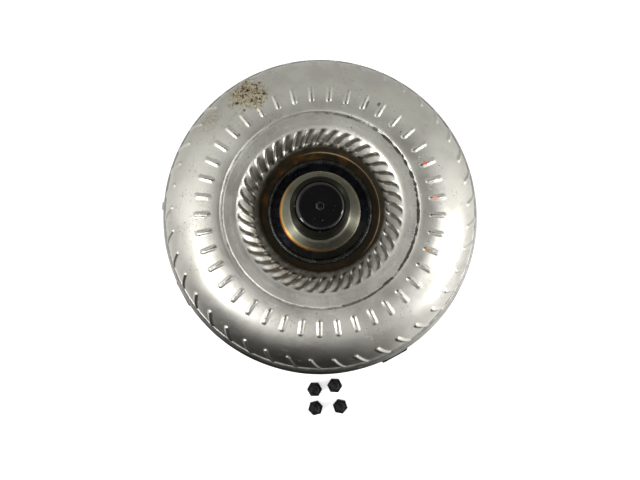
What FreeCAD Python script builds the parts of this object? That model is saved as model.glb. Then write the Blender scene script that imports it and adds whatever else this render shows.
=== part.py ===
import FreeCAD, Part
import math
import os
import re

import Sketcher
from FreeCAD import Placement, Rotation, Vector

# A torque converter with a lock-up clutch, standing on its crank pilot. Millimetres, +Z along the
# turning axis towards the transmission, origin at the centre of the pilot's end face.

SIZES = {
    # front cover and its seam with the impeller shell
    "cover_r": 150, "cover_wall": 4.5, "cover_face_z": 20, "cover_corner": 12, "bulge_z": 47,
    "skirt_r": 146, "skirt_z": 55, "seam_z": 72, "seam_gap": 0.1, "bead": 3.7,
    "dish_r": 60, "dish_z": 11, "dish_edge_r": 70,
    # crank pilot, lugs and balance weight
    "pilot_r": 18, "pilot_bore_r": 24.5, "pilot_flange_r": 30, "pilot_flange_z": 7, "pilot_chamfer": 1.5,
    "lug_face_z": 8, "lug_inner_r": 121, "lug_outer_r": 153.2, "lug_width": 28.4, "lug_round": 2,
    "bolt_circle_r": 137, "bolt_hole_r": 4.1, "lug_count": 4, "lug_angle": 28.7,
    "weight_angle": 174.6, "weight_width": 7, "weight_height": 11, "weight_thick": 1.6, "weight_z": 34,
    # impeller shell
    "rim_r": 142, "rim_end_z": 66, "crest_r": 105, "crest_z": 117, "shell_wall": 3,
    "groove_r": 88.2, "groove_width": 1.5, "groove_depth": 1.4, "shelf_drop": 0.9,
    "lip_r": 77, "lip_z": 115, "lip_round": 9, "slope_top_r": 70.8, "slope_top_z": 112,
    "slope_foot_r": 64, "slope_foot_z": 104.2, "foot_round": 6, "foot_r": 59.5, "foot_z": 102.1,
    "slope_deg": 48.9, "floor_r": 54, "floor_z": 100.9, "shell_hole_r": 44.9,
    "tab_length": 10.4, "tab_r": 1.9, "tab_sink": 0.8, "rib_length": 14.8, "rib_r": 2.5, "rib_sink": 1.35,
    "outer_tab_deg": 24, "outer_tab_lean": 63,
    # pump hub and its transit plug
    "hub_r": 26, "hub_bore_r": 21.5, "hub_end_z": 153, "hub_base_z": 95, "hub_flange_r": 44.6,
    "hub_step_z": 102, "hub_bead": 4, "boss_r": 36.2, "boss_z": 106, "hub_chamfer": 1.4, "hub_root": 1.8,
    "drive_slot_width": 8, "drive_slot_depth": 1.4, "drive_slot_length": 10,
    "plug_fit": 0.2, "plug_wall": 2, "plug_skirt": 13, "plug_height": 2.2, "plug_round": 3.4,
    "plug_nub": 7.2, "plug_nub_height": 1.8,
    # blade rings
    "blade_count": 41, "turbine_blade_count": 37, "blade_thick": 1, "core_outer_r": 124.5,
    "core_flat_out_r": 112.5, "core_flat_in_r": 90.5, "core_inner_r": 79, "core_round": 12,
    "core_wall": 1.2, "split_z": 78, "split_gap": 1, "core_depth": 20, "core_lip": 13,
    # turbine
    "turbine_r": 137.5, "turbine_round": 32.5, "turbine_wall": 2, "turbine_centre_z": 76,
    "slant_top_r": 67.3, "slant_top_z": 58.2, "slant_low_r": 78.5, "slant_low_z": 48.6,
    "slant_out_r": 90, "slant_out_z": 46.2,
    "turbine_flange_z": 58.2, "turbine_flange_r": 44.4, "spline_r": 12, "spline_depth": 1.4,
    "spline_teeth": 22, "turbine_hub_z": 19.7, "turbine_hub_top_z": 60.3, "journal_r": 29.97,
    "shoulder_r": 36, "shoulder_z": 31.8, "hub_disc_r": 52.5, "hub_disc_z": 52,
    "rivet_count": 8, "rivet_circle_r": 49, "rivet_r": 2.5, "rivet_head_r": 4, "rivet_head": 1.5,
    # lock-up clutch and torsional damper
    "piston_bore_r": 30.05, "piston_collar_r": 34, "piston_collar_z": 22, "piston_z": 26.5,
    "piston_top_z": 29.5, "piston_r": 135.8, "piston_lip": 2.6, "piston_lip_z": 36,
    "lining_in_r": 104, "lining_out_r": 132, "lining_z": 25.5, "clutch_teeth": 12,
    "clutch_slot": 8, "damper_z": 30, "damper_sheet": 1.5, "damper_wall_r": 132, "damper_wall_z": 41,
    "damper_tooth_r": 135.2, "damper_tooth": 7.6, "stop_count": 8, "stop_deg": 17.6,
    "driven_in_r": 117.2, "driven_out_r": 126.8, "driven_z": 44.45, "driven_sheet": 1.4,
    "driven_tab_z": 33.2, "spring_r": 6, "spring_wire": 2.4, "spring_length": 54,
    "spring_turns": 8, "spring_from_axis": 119.5, "spring_z": 38,
    # stator and its one-way clutch
    "stator_blade_count": 17, "stator_ring_in_r": 45, "stator_ring_r": 56, "stator_z": 64.5,
    "stator_lip_z": 67.8, "stator_ring_z": 66, "stator_ring_top_z": 90, "stator_collar_r": 49,
    "stator_collar_z": 92.8, "stator_lip_r": 36, "shroud_in_r": 74, "shroud_r": 77,
    "race_in_r": 30.2, "race_out_r": 44.9, "race_z": 68, "race_top_z": 87,
    "roller_r": 3.6, "roller_circle_r": 31.65, "roller_count": 10, "roller_end": 0.6,
    "inner_race_r": 28, "inner_race_bore_r": 17.5, "inner_race_z": 65, "inner_race_top_z": 90.4,
    "shaft_groove": 1.6, "shaft_teeth": 24, "plate_in_r": 28.6, "plate_top_z": 90.9,
    "ring_groove_z": 91.2, "ring_thick": 1, "ring_in_r": 43.2, "ring_out_r": 46.2,
    # thrust bearings
    "thrust_race": 0.95, "needle_r": 0.95, "needle_count": 24, "cage_thick": 1,
    # flexplate bolts, standing on their heads beside the cover
    "bolt_r": 4, "bolt_flats": 13, "bolt_head": 5.3, "bolt_length": 14, "bolt_chamfer": 0.8,
}

# Where each bolt stands: x, y and the turn of its hexagon in degrees.
BOLTS = ((-5.3, -167.4, 0), (14.5, -163.6, -3), (-4.4, -185.7, 14), (19.9, -184.1, -11))

# A blade's angle round the axis, in degrees, at each radius. The tabs that show outside follow it.
BLADE_LINE = ((58, 6.6), (66, 2.4), (75, -1.4), (90, -0.9), (105, 0), (120, -0.9), (133, -2.5), (142, 2))

ALIAS = re.compile(r"\b(" + "|".join(sorted(SIZES, key=len, reverse=True)) + r")\b")

doc = FreeCAD.newDocument("torque_converter")
sheet = doc.addObject("Spreadsheet::Sheet", "sizes")
for row, (alias, number) in enumerate(SIZES.items(), start=1):
    sheet.set(f"A{row}", alias)
    sheet.set(f"B{row}", str(number))
    sheet.setAlias(f"B{row}", alias)
doc.recompute()

NODES = {}


# ---------------------------------------------------------------- helpers


def bound(text):
    """An expression in the sheet's aliases, as a document expression."""
    return ALIAS.sub(lambda found: "sizes." + found.group(1), text)


def size(text):
    """The number that an expression in the sheet's aliases gives."""
    return float(sheet.evalExpression(bound(text)))


def body(label):
    made = doc.addObject("PartDesign::Body", label)
    made.Label = label
    made.AllowCompound = True
    return made


def origin_part(owner, role):
    return next(f for f in owner.Origin.OriginFeatures if f.Role == role)


def sketch_on(owner, role, name, offset=None):
    sketch = owner.newObject("Sketcher::SketchObject", name)
    sketch.AttachmentSupport = [(origin_part(owner, role), "")]
    sketch.MapMode = "FlatFace"
    if offset:
        sketch.setExpression("AttachmentOffset.Base.z", bound(offset))
    return sketch


def place_point(sketch, geometry, end, x_text, y_text):
    """Fixes one end of a sketch line or arc at a place given by two expressions."""
    for kind, axis, text in (("DistanceX", -2, x_text), ("DistanceY", -1, y_text)):
        if text == "0":
            sketch.addConstraint(Sketcher.Constraint("PointOnObject", geometry, end, axis))
            continue
        index = sketch.addConstraint(Sketcher.Constraint(kind, -1, 1, geometry, end, size(text)))
        sketch.setExpression(f"Constraints[{index}]", bound(text))


def arc_between(start, end, radius, turn):
    """The shorter arc from start to end; turn is 1 anticlockwise and -1 clockwise."""
    chord = end - start
    left = Vector(-chord.y, chord.x, 0).normalize()
    centre = (start + end) / 2 + left * (turn * math.sqrt(radius**2 - chord.Length**2 / 4))
    first, last = (start, end) if turn > 0 else (end, start)
    angles = [math.atan2(p.y - centre.y, p.x - centre.x) for p in (first, last)]
    circle = Part.Circle(centre, Vector(0, 0, 1), radius)
    if angles[1] <= angles[0]:
        angles[1] += 2 * math.pi
    return Part.ArcOfCircle(circle, angles[0], angles[1])


def outline(sketch, points):
    """A closed outline. Each point is (x, y), or (x, y, radius, turn) where an arc leads to it."""
    corners = [Vector(size(p[0]), size(p[1]), 0) for p in points]
    ends = []
    for k, point in enumerate(points):
        start, end = corners[k - 1], corners[k]
        if len(point) == 2:
            index = sketch.addGeometry(Part.LineSegment(start, end), False)
            ends.append((index, 1, 2))
            continue
        arc = arc_between(start, end, size(point[2]), point[3])
        index = sketch.addGeometry(arc, False)
        ends.append((index, 1, 2) if point[3] > 0 else (index, 2, 1))
    for k, (index, first, last) in enumerate(ends):
        after, after_first, _ = ends[(k + 1) % len(ends)]
        sketch.addConstraint(Sketcher.Constraint("Coincident", index, last, after, after_first))
        place_point(sketch, index, last, points[k][0], points[k][1])
        if len(points[k]) == 4:
            fixed = sketch.addConstraint(Sketcher.Constraint("Radius", index, size(points[k][2])))
            sketch.setExpression(f"Constraints[{fixed}]", bound(points[k][2]))


def round_hole(sketch, x_text, radius_text, y_text="0"):
    index = sketch.addGeometry(Part.Circle(Vector(size(x_text), size(y_text), 0), Vector(0, 0, 1),
                                           size(radius_text)), False)
    place_point(sketch, index, 3, x_text, y_text)
    fixed = sketch.addConstraint(Sketcher.Constraint("Radius", index, size(radius_text)))
    sketch.setExpression(f"Constraints[{fixed}]", bound(radius_text))


def rectangle(low_x, low_y, high_x, high_y):
    return [(low_x, low_y), (high_x, low_y), (high_x, high_y), (low_x, high_y)]


def turned(owner, points):
    """A ring or disc of the owner, turned about the Z axis from an outline of radius and height."""
    sketch = sketch_on(owner, "XZ_Plane", owner.Label + "_section")
    outline(sketch, points)
    feature = owner.newObject("PartDesign::Revolution", owner.Label + "_turned")
    feature.Profile = sketch
    feature.ReferenceAxis = (sketch, ["V_Axis"])
    feature.Angle = 360
    doc.recompute()
    return feature


def pad(owner, sketch, depth):
    feature = owner.newObject("PartDesign::Pad", sketch.Label + "_pad")
    feature.Profile = sketch
    feature.setExpression("Length", bound(depth))
    doc.recompute()
    return feature


def cut(owner, sketch, depth, upwards=True):
    """A pocket from the sketch, towards its normal if upwards; it must take material away."""
    before = owner.Shape.Volume
    feature = owner.newObject("PartDesign::Pocket", sketch.Label + "_cut")
    feature.Profile = sketch
    feature.Reversed = upwards
    feature.setExpression("Length", bound(depth))
    doc.recompute()
    if owner.Shape.Volume >= before:
        raise ValueError(f"{sketch.Label} cuts nothing")
    return feature


def repeat(owner, feature, count):
    """The feature, count times round the Z axis."""
    pattern = owner.newObject("PartDesign::PolarPattern", feature.Label + "_pattern")
    pattern.Originals = [feature]
    pattern.Axis = (origin_part(owner, "Z_Axis"), [""])
    pattern.Angle = 360
    pattern.setExpression("Occurrences", bound(count))
    owner.Tip = pattern
    doc.recompute()
    return pattern


def circle_edges(shape, places):
    """The names of the round edges about the Z axis at these places, given as radius and height."""
    names = []
    for radius, height in places:
        for number, edge in enumerate(shape.Edges, start=1):
            if not isinstance(edge.Curve, Part.Circle):
                continue
            centre = Vector(0, 0, size(height))
            if (edge.Curve.Center - centre).Length < 0.01 and abs(edge.Curve.Radius - size(radius)) < 0.01:
                names.append(f"Edge{number}")
    if len(names) < len(places):
        raise ValueError(f"{len(places) - len(names)} edges weren't found")
    return names


def fillet(owner, places, radius):
    base = owner.Tip
    feature = owner.newObject("PartDesign::Fillet", base.Label + "_round")
    feature.Base = (base, circle_edges(base.Shape, places))
    feature.setExpression("Radius", bound(radius))
    doc.recompute()
    return feature


def keep(made, node=None):
    """Marks an object as one of the part's nodes."""
    NODES[node or made.Label] = made
    return made


def shape_node(node, shape):
    """A node whose shape comes from Part's own functions."""
    made = doc.addObject("Part::Feature", node)
    made.Label = node
    made.Shape = shape
    return keep(made)


def spun(shape, degrees):
    """A copy of the shape, turned about the Z axis."""
    copy = shape.copy()
    copy.rotate(Vector(0, 0, 0), Vector(0, 0, 1), degrees)
    return copy


def around(shape, count, start=0):
    """Copies of a shape, evenly round the Z axis."""
    return [spun(shape, start + 360 * k / count) for k in range(count)]


def turned_shape(points):
    """A full ring from plain (radius, height) points; an arc's point also has its radius and turn."""
    corners = [Vector(p[0], p[1], 0) for p in points]
    edges = []
    for k, point in enumerate(points):
        if len(point) == 2:
            edges.append(Part.LineSegment(corners[k - 1], corners[k]).toShape())
        else:
            edges.append(arc_between(corners[k - 1], corners[k], point[2], point[3]).toShape())
    face = Part.Face(Part.Wire(Part.__sortEdges__(edges)))
    face.rotate(Vector(0, 0, 0), Vector(1, 0, 0), 90)
    return face.revolve(Vector(0, 0, 0), Vector(0, 0, 1), 360)


# ---------------------------------------------------------------- welded housing


def front_cover():
    owner = body("front_cover")
    turned(owner, [
        ("pilot_bore_r", "dish_z"),
        ("dish_r", "dish_z"),
        ("dish_edge_r", "cover_face_z"),
        ("cover_r - cover_corner", "cover_face_z"),
        ("cover_r", "cover_face_z + cover_corner", "cover_corner", 1),
        ("cover_r", "bulge_z"),
        ("skirt_r", "skirt_z"),
        ("skirt_r", "seam_z"),
        ("rim_r + seam_gap", "seam_z"),
        ("rim_r + seam_gap", "skirt_z - 2"),
        ("cover_r - cover_wall", "bulge_z - 1"),
        ("cover_r - cover_wall", "cover_face_z + cover_corner"),
        ("cover_r - cover_corner", "cover_face_z + cover_wall", "cover_corner - cover_wall", -1),
        ("dish_edge_r - 1", "cover_face_z + cover_wall"),
        ("dish_r - 0.5", "dish_z + cover_wall"),
        ("pilot_bore_r", "dish_z + cover_wall"),
    ])
    fillet(owner, [("dish_r", "dish_z"), ("dish_edge_r", "cover_face_z"), ("cover_r", "bulge_z"),
                   ("skirt_r", "skirt_z")], "cover_wall")
    keep(owner)


def pilot_hub():
    owner = body("pilot_hub")
    turned(owner, [
        ("0", "0"),
        ("pilot_r - pilot_chamfer", "0"),
        ("pilot_r", "pilot_chamfer"),
        ("pilot_r", "pilot_flange_z"),
        ("pilot_flange_r - pilot_chamfer", "pilot_flange_z"),
        ("pilot_flange_r", "pilot_flange_z + pilot_chamfer"),
        ("pilot_flange_r", "dish_z"),
        ("pilot_bore_r - seam_gap", "dish_z"),
        ("pilot_bore_r - seam_gap", "dish_z + cover_wall"),
        ("0", "dish_z + cover_wall"),
    ])
    keep(owner)


def drive_lugs():
    owner = body("drive_lugs")
    sketch = sketch_on(owner, "XY_Plane", "lug_plan", "lug_face_z")
    outline(sketch, [
        ("lug_inner_r + lug_round", "-lug_width / 2", "lug_round", 1),
        ("lug_outer_r - lug_round", "-lug_width / 2"),
        ("lug_outer_r", "-lug_width / 2 + lug_round", "lug_round", 1),
        ("lug_outer_r", "lug_width / 2 - lug_round"),
        ("lug_outer_r - lug_round", "lug_width / 2", "lug_round", 1),
        ("lug_inner_r + lug_round", "lug_width / 2"),
        ("lug_inner_r", "lug_width / 2 - lug_round", "lug_round", 1),
        ("lug_inner_r", "-lug_width / 2 + lug_round"),
    ])
    block = pad(owner, sketch, "cover_face_z - lug_face_z")
    hole = sketch_on(owner, "XY_Plane", "lug_hole", "lug_face_z - 1")
    round_hole(hole, "bolt_circle_r", "bolt_hole_r")
    drilled = cut(owner, hole, "cover_face_z - lug_face_z + 2")
    pattern = repeat(owner, block, "lug_count")
    pattern.Originals = [block, drilled]
    owner.setExpression("Placement.Rotation.Angle", bound("lug_angle"))
    doc.recompute()
    keep(owner)


def balance_weight():
    owner = body("balance_weight")
    turned(owner, rectangle("cover_r", "weight_z", "cover_r + weight_thick", "weight_z + weight_height"))
    owner.Tip.setExpression("Angle", bound("2 * atan(weight_width / 2 / cover_r)"))
    owner.setExpression("Placement.Rotation.Angle", bound("weight_angle"))
    doc.recompute()
    keep(owner)


def seam_weld():
    owner = body("seam_weld")
    turned(owner, [
        ("rim_r + seam_gap", "seam_z"),
        ("rim_r + seam_gap + bead", "seam_z"),
        ("rim_r + seam_gap", "seam_z + bead", "bead", 1),
    ])
    keep(owner)


def capsule(half_length, radius):
    """A round-ended bar along X, about the origin."""
    bar = Part.makeCylinder(radius, 2 * half_length, Vector(-half_length, 0, 0), Vector(1, 0, 0))
    ends = [Part.makeSphere(radius, Vector(x, 0, 0)) for x in (-half_length, half_length)]
    return bar.multiFuse(ends).removeSplitter()


def bent_capsule(bend_radius, half_angle, radius):
    """A round-ended bar along an arc in the XZ plane, its middle on the Z axis at z 0."""
    bar = Part.makeTorus(bend_radius, radius, Vector(0, 0, 0), Vector(0, 0, 1), 0, 360, 2 * half_angle)
    bar.rotate(Vector(0, 0, 0), Vector(0, 0, 1), 90 - half_angle)
    bar.rotate(Vector(0, 0, 0), Vector(1, 0, 0), 90)
    ends = []
    for side in (-1, 1):
        angle = math.radians(half_angle) * side
        end = Vector(bend_radius * math.sin(angle), 0, bend_radius * math.cos(angle))
        ends.append(Part.makeSphere(radius, end))
    made = bar.multiFuse(ends)
    made.translate(Vector(0, 0, -bend_radius))
    return made


def on_shell(bump, radius, height, tilt, slant, around_axis):
    """Turns a bump lying along X by its slant, tips it to the shell's slope and sets it in place."""
    made = bump.copy()
    made.rotate(Vector(0, 0, 0), Vector(0, 0, 1), slant)
    made.rotate(Vector(0, 0, 0), Vector(0, 1, 0), tilt)
    made.translate(Vector(radius, 0, height))
    return spun(made, around_axis)


def impeller_shell():
    blank = body("impeller_shell_blank")
    across = "shell_wall * sin(slope_deg)"
    down = "shell_wall * cos(slope_deg)"
    turned(blank, [
        ("rim_r", "rim_end_z"),
        ("rim_r", "crest_z - (rim_r - crest_r)"),
        ("crest_r", "crest_z", "rim_r - crest_r", 1),
        ("groove_r + 0.8", "crest_z - 0.5"),
        ("groove_r", "crest_z - 0.5 - groove_depth"),
        ("groove_r - groove_width", "crest_z - 0.5 - groove_depth"),
        ("groove_r - groove_width - 0.7", "crest_z - 0.5 - shelf_drop"),
        ("lip_r", "lip_z"),
        ("slope_top_r", "slope_top_z", "lip_round", 1),
        ("slope_foot_r", "slope_foot_z"),
        ("foot_r", "foot_z", "foot_round", -1),
        ("floor_r + 0.6", "foot_z - 0.5"),
        ("floor_r", "floor_z"),
        ("shell_hole_r", "floor_z"),
        ("shell_hole_r", "floor_z - shell_wall"),
        ("floor_r", "floor_z - shell_wall"),
        ("foot_r + 0.3", "foot_z - shell_wall"),
        ("slope_foot_r + " + across, "slope_foot_z - " + down, "foot_round + shell_wall", 1),
        ("slope_top_r + " + across, "slope_top_z - " + down),
        ("lip_r + 0.25", "lip_z - shell_wall", "lip_round - shell_wall", -1),
        ("crest_r", "crest_z - shell_wall"),
        ("rim_r - shell_wall", "crest_z - (rim_r - crest_r)", "rim_r - crest_r - shell_wall", -1),
        ("rim_r - shell_wall", "rim_end_z"),
    ])

    # Three rows of raised tabs, one of each per blade, where the blades are held in the shell.
    crest_r = size("crest_r")
    torus_r = size("rim_r - crest_r")
    torus_z = size("crest_z") - torus_r
    slope_r = size("(slope_top_r + slope_foot_r) / 2 + rib_sink * sin(slope_deg)")
    slope_z = size("(slope_top_z + slope_foot_z) / 2 - rib_sink * cos(slope_deg)") + 1
    middle_bump = capsule(size("tab_length / 2"), size("tab_r"))
    inner_bump = capsule(size("rib_length / 2"), size("rib_r"))
    outer_bump = bent_capsule(torus_r - size("tab_sink"), size("outer_tab_deg / 2"), size("tab_r"))
    lean = math.radians(size("outer_tab_lean"))
    outer_r = crest_r + (torus_r - size("tab_sink")) * math.sin(lean)
    outer_z = torus_z + (torus_r - size("tab_sink")) * math.cos(lean)
    bumps = []
    for k in range(int(size("blade_count"))):
        turn = 360 * k / size("blade_count")
        bumps.append(on_shell(middle_bump, crest_r, size("crest_z - tab_sink - 0.2"), 2.2, 0, turn))
        bumps.append(on_shell(inner_bump, slope_r, slope_z, -size("slope_deg"), -26, turn + 0.8))
        bumps.append(on_shell(outer_bump, outer_r, outer_z, size("outer_tab_lean"), 28, turn - 0.5))
    shell = blank.Shape.multiFuse(bumps)
    shape_node("impeller_shell", shell.Solids[0] if len(shell.Solids) == 1 else shell)


def pump_hub():
    owner = body("pump_hub")
    turned(owner, [
        ("hub_bore_r", "hub_base_z"),
        ("hub_flange_r - 3", "hub_base_z"),
        ("hub_flange_r", "hub_base_z + 2"),
        ("hub_flange_r", "hub_step_z"),
        ("boss_r", "hub_step_z"),
        ("boss_r", "boss_z - 0.6"),
        ("boss_r - 0.6", "boss_z"),
        ("hub_r + hub_root", "boss_z"),
        ("hub_r", "boss_z + hub_root", "hub_root", -1),
        ("hub_r", "hub_end_z - hub_chamfer"),
        ("hub_r - hub_chamfer", "hub_end_z"),
        ("hub_bore_r + 0.8", "hub_end_z"),
        ("hub_bore_r", "hub_end_z - 0.8"),
    ])
    sketch = sketch_on(owner, "XY_Plane", "drive_slot", "hub_end_z - drive_slot_length")
    outline(sketch, rectangle("hub_bore_r - 2", "-drive_slot_width / 2",
                              "hub_bore_r + drive_slot_depth", "drive_slot_width / 2"))
    slot = cut(owner, sketch, "drive_slot_length + 1")
    repeat(owner, slot, "2")
    keep(owner)


def hub_weld():
    owner = body("hub_weld")
    turned(owner, [
        ("hub_flange_r - 2.5", "hub_step_z", "hub_bead", 1),
        ("hub_flange_r + 0.05", "hub_step_z"),
        ("hub_flange_r + 0.05", "floor_z"),
        ("hub_flange_r + 3.5", "floor_z"),
    ])
    keep(owner)


def hub_plug():
    owner = body("hub_plug")
    inside = "hub_bore_r - plug_fit"
    turned(owner, [
        ("0", "hub_end_z + plug_height - plug_wall"),
        (inside + " - plug_wall", "hub_end_z + plug_height - plug_wall"),
        (inside + " - plug_wall", "hub_end_z - plug_skirt"),
        (inside + " - 0.8", "hub_end_z - plug_skirt"),
        (inside, "hub_end_z - plug_skirt + 2"),
        (inside, "hub_end_z + plug_height - plug_round"),
        (inside + " - plug_round", "hub_end_z + plug_height", "plug_round", 1),
        ("0", "hub_end_z + plug_height"),
    ])
    nub = sketch_on(owner, "XY_Plane", "plug_nub_plan", "hub_end_z + plug_height - 0.5")
    hexagon(nub, "plug_nub", "0", "0", 0)
    pad(owner, nub, "plug_nub_height + 0.5")
    keep(owner)


def hexagon(sketch, flats, x_text, y_text, turn):
    """A hexagon with a corner at the turn's angle, by its width across flats."""
    points = []
    for k in range(6):
        angle = 60 * k + turn
        points.append((f"{x_text} + {flats} / 2 / cos(30) * cos({angle})",
                       f"{y_text} + {flats} / 2 / cos(30) * sin({angle})"))
    outline(sketch, points)


# ---------------------------------------------------------------- blades and cores


def blade(low_z, high_z, mirror):
    """One curved blade wall along BLADE_LINE, from low_z up to high_z."""
    half = size("blade_thick") / 2
    sides = []
    for offset in (half, -half):
        line = []
        for radius, degrees in BLADE_LINE:
            angle = math.radians(degrees * mirror) + offset / radius
            line.append(Vector(radius * math.cos(angle), radius * math.sin(angle), low_z))
        curve = Part.BSplineCurve()
        curve.interpolate(line)
        sides.append(curve.toShape())
    caps = [Part.makeLine(sides[0].Vertexes[k].Point, sides[1].Vertexes[k].Point) for k in (0, -1)]
    face = Part.Face(Part.Wire(Part.__sortEdges__([*sides, *caps])))
    return face.extrude(Vector(0, 0, high_z - low_z))


def core_ring(label, side):
    """The thin half ring that carries the blades' inner edges; side is 1 above the split, -1 below."""
    owner = body(label)

    def level(text):
        return f"split_z + {side} * ({text})"

    turned(owner, [
        ("core_outer_r", level("split_gap")),
        ("core_outer_r", level("core_depth - core_round")),
        ("core_flat_out_r", level("core_depth"), "core_round", side),
        ("core_flat_in_r", level("core_depth")),
        ("core_inner_r", level("core_lip"), "core_round", side),
        ("core_inner_r + core_wall", level("core_lip - 0.5")),
        ("core_flat_in_r", level("core_depth - core_wall"), "core_round - core_wall / 2", -side),
        ("core_flat_out_r", level("core_depth - core_wall")),
        ("core_outer_r - core_wall", level("core_depth - core_round"), "core_round - core_wall", -side),
        ("core_outer_r - core_wall", level("split_gap")),
    ])
    keep(owner)


def impeller_blades():
    fit = 0.12
    torus_r = size("rim_r - crest_r - shell_wall") - fit
    torus_z = size("crest_z - (rim_r - crest_r)")
    split = size("split_z")
    channel = turned_shape([
        (size("core_outer_r") + fit, split + 1),
        (size("crest_r") + torus_r, split + 1),
        (size("crest_r") + torus_r, torus_z),
        (size("crest_r"), torus_z + torus_r, torus_r, 1),
        (size("lip_r"), size("lip_z - shell_wall") - fit - 0.2),
        (size("slope_foot_r + shell_wall") + 4, size("slope_foot_z")),
        (60.5, size("slope_foot_z") - 7),
        (60.5, split + 13),
        (size("core_inner_r") - fit, split + 13),
        (size("core_flat_in_r"), split + size("core_depth") + fit, size("core_round") + 0.5, -1),
        (size("core_flat_out_r"), split + size("core_depth") + fit),
        (size("core_outer_r") + fit, split + size("core_depth - core_round"), size("core_round") + fit, -1),
    ])
    one = blade(split, size("crest_z"), 1).common(channel)
    count = int(size("blade_count"))
    shape_node("impeller_blades", Part.makeCompound(around(one.Solids[0], count)))


def turbine_blades():
    fit = 0.12
    round_r = size("turbine_round - turbine_wall") - fit
    centre_z = size("turbine_centre_z")
    centre_r = size("turbine_r - turbine_round")
    split = size("split_z")
    channel = turned_shape([
        (size("core_outer_r") + fit, split - 1),
        (size("core_outer_r") + fit, split - size("core_depth - core_round")),
        (size("core_flat_out_r"), split - size("core_depth") - fit, size("core_round") + fit, -1),
        (size("core_flat_in_r"), split - size("core_depth") - fit),
        (size("core_inner_r") - fit, split - 13, size("core_round") + 0.5, -1),
        (62, split - 13),
        (62, size("turbine_flange_z + turbine_wall") + 0.3),
        (size("slant_top_r") + 0.2, size("slant_top_z") + 0.3),
        (size("slant_low_r") + 0.2, size("slant_low_z") + 0.3),
        (size("slant_out_r"), size("slant_out_z") + 0.3),
        (centre_r, centre_z - round_r),
        (centre_r + round_r, centre_z, round_r, 1),
        (centre_r + round_r, split - 1),
    ])
    one = blade(size("turbine_centre_z - turbine_round"), split, -1).common(channel)
    count = int(size("turbine_blade_count"))
    shape_node("turbine_blades", Part.makeCompound(around(one.Solids[0], count)))


# ---------------------------------------------------------------- turbine


def turbine_shell():
    owner = body("turbine_shell")
    inner_round = "turbine_round - turbine_wall"
    turned(owner, [
        ("turbine_r", "split_z - split_gap"),
        ("turbine_r - turbine_wall", "split_z - split_gap"),
        ("turbine_r - turbine_wall", "turbine_centre_z"),
        ("turbine_r - turbine_round", "turbine_centre_z - (" + inner_round + ")", inner_round, -1),
        ("slant_out_r", "slant_out_z"),
        ("slant_low_r", "slant_low_z"),
        ("slant_top_r", "slant_top_z"),
        ("60.6", "turbine_flange_z + turbine_wall"),
        ("turbine_flange_r", "turbine_flange_z + turbine_wall"),
        ("turbine_flange_r", "turbine_flange_z"),
        ("slant_top_r - 7", "turbine_flange_z"),
        ("slant_top_r - 1.3", "slant_top_z - 1.8"),
        ("slant_low_r - 1", "slant_low_z - turbine_wall"),
        ("slant_out_r", "slant_out_z - turbine_wall - 0.2"),
        ("turbine_r - turbine_round", "turbine_centre_z - turbine_round"),
        ("turbine_r", "turbine_centre_z", "turbine_round", 1),
    ])
    hole = sketch_on(owner, "XY_Plane", "shell_rivet_hole", "turbine_flange_z - 1")
    round_hole(hole, "rivet_circle_r", "rivet_r + 0.1")
    repeat(owner, cut(owner, hole, "turbine_wall + 2"), "rivet_count")
    keep(owner)


def turbine_hub():
    owner = body("turbine_hub")
    turned(owner, [
        ("spline_r", "turbine_hub_z"),
        ("journal_r - 1", "turbine_hub_z"),
        ("journal_r", "turbine_hub_z + 1"),
        ("journal_r", "piston_collar_z + 1"),
        ("journal_r - 2.5", "piston_collar_z + 1"),
        ("journal_r - 2.5", "piston_collar_z + 4"),
        ("journal_r", "piston_collar_z + 4"),
        ("journal_r", "shoulder_z"),
        ("shoulder_r", "shoulder_z"),
        ("shoulder_r", "hub_disc_z - 4"),
        ("shoulder_r + 4", "hub_disc_z"),
        ("hub_disc_r", "hub_disc_z"),
        ("hub_disc_r", "turbine_flange_z - 0.05"),
        ("turbine_flange_r - 0.1", "turbine_flange_z - 0.05"),
        ("turbine_flange_r - 0.1", "turbine_hub_top_z"),
        ("spline_r", "turbine_hub_top_z"),
    ])
    groove = sketch_on(owner, "XY_Plane", "input_spline", "turbine_hub_z - 1")
    outline(groove, rectangle("spline_r - 2", "-0.85", "spline_r + spline_depth", "0.85"))
    repeat(owner, cut(owner, groove, "turbine_hub_top_z - turbine_hub_z + 2"), "spline_teeth")
    hole = sketch_on(owner, "XY_Plane", "hub_rivet_hole", "hub_disc_z - 1")
    round_hole(hole, "rivet_circle_r", "rivet_r + 0.1")
    repeat(owner, cut(owner, hole, "turbine_flange_z - hub_disc_z + 2"), "rivet_count")
    keep(owner)


def turbine_rivets():
    low, high = size("hub_disc_z"), size("turbine_flange_z + turbine_wall")
    place = size("rivet_circle_r")
    shank = Part.makeCylinder(size("rivet_r"), high - low, Vector(place, 0, low))
    heads = []
    for base, tip, way in ((high, size("rivet_head_r - 1"), 1), (low, size("rivet_head_r - 1"), -1)):
        heads.append(Part.makeCone(size("rivet_head_r"), tip, size("rivet_head"), Vector(place, 0, base),
                                   Vector(0, 0, way)))
    one = shank.multiFuse(heads).removeSplitter()
    shape_node("turbine_rivets", Part.makeCompound(around(one, int(size("rivet_count")))))


def piston_seal():
    owner = body("piston_seal")
    turned(owner, rectangle(
        "journal_r - 2.4", "piston_collar_z + 1.2", "journal_r + 0.04", "piston_collar_z + 3.8"
    ))
    keep(owner)


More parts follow.
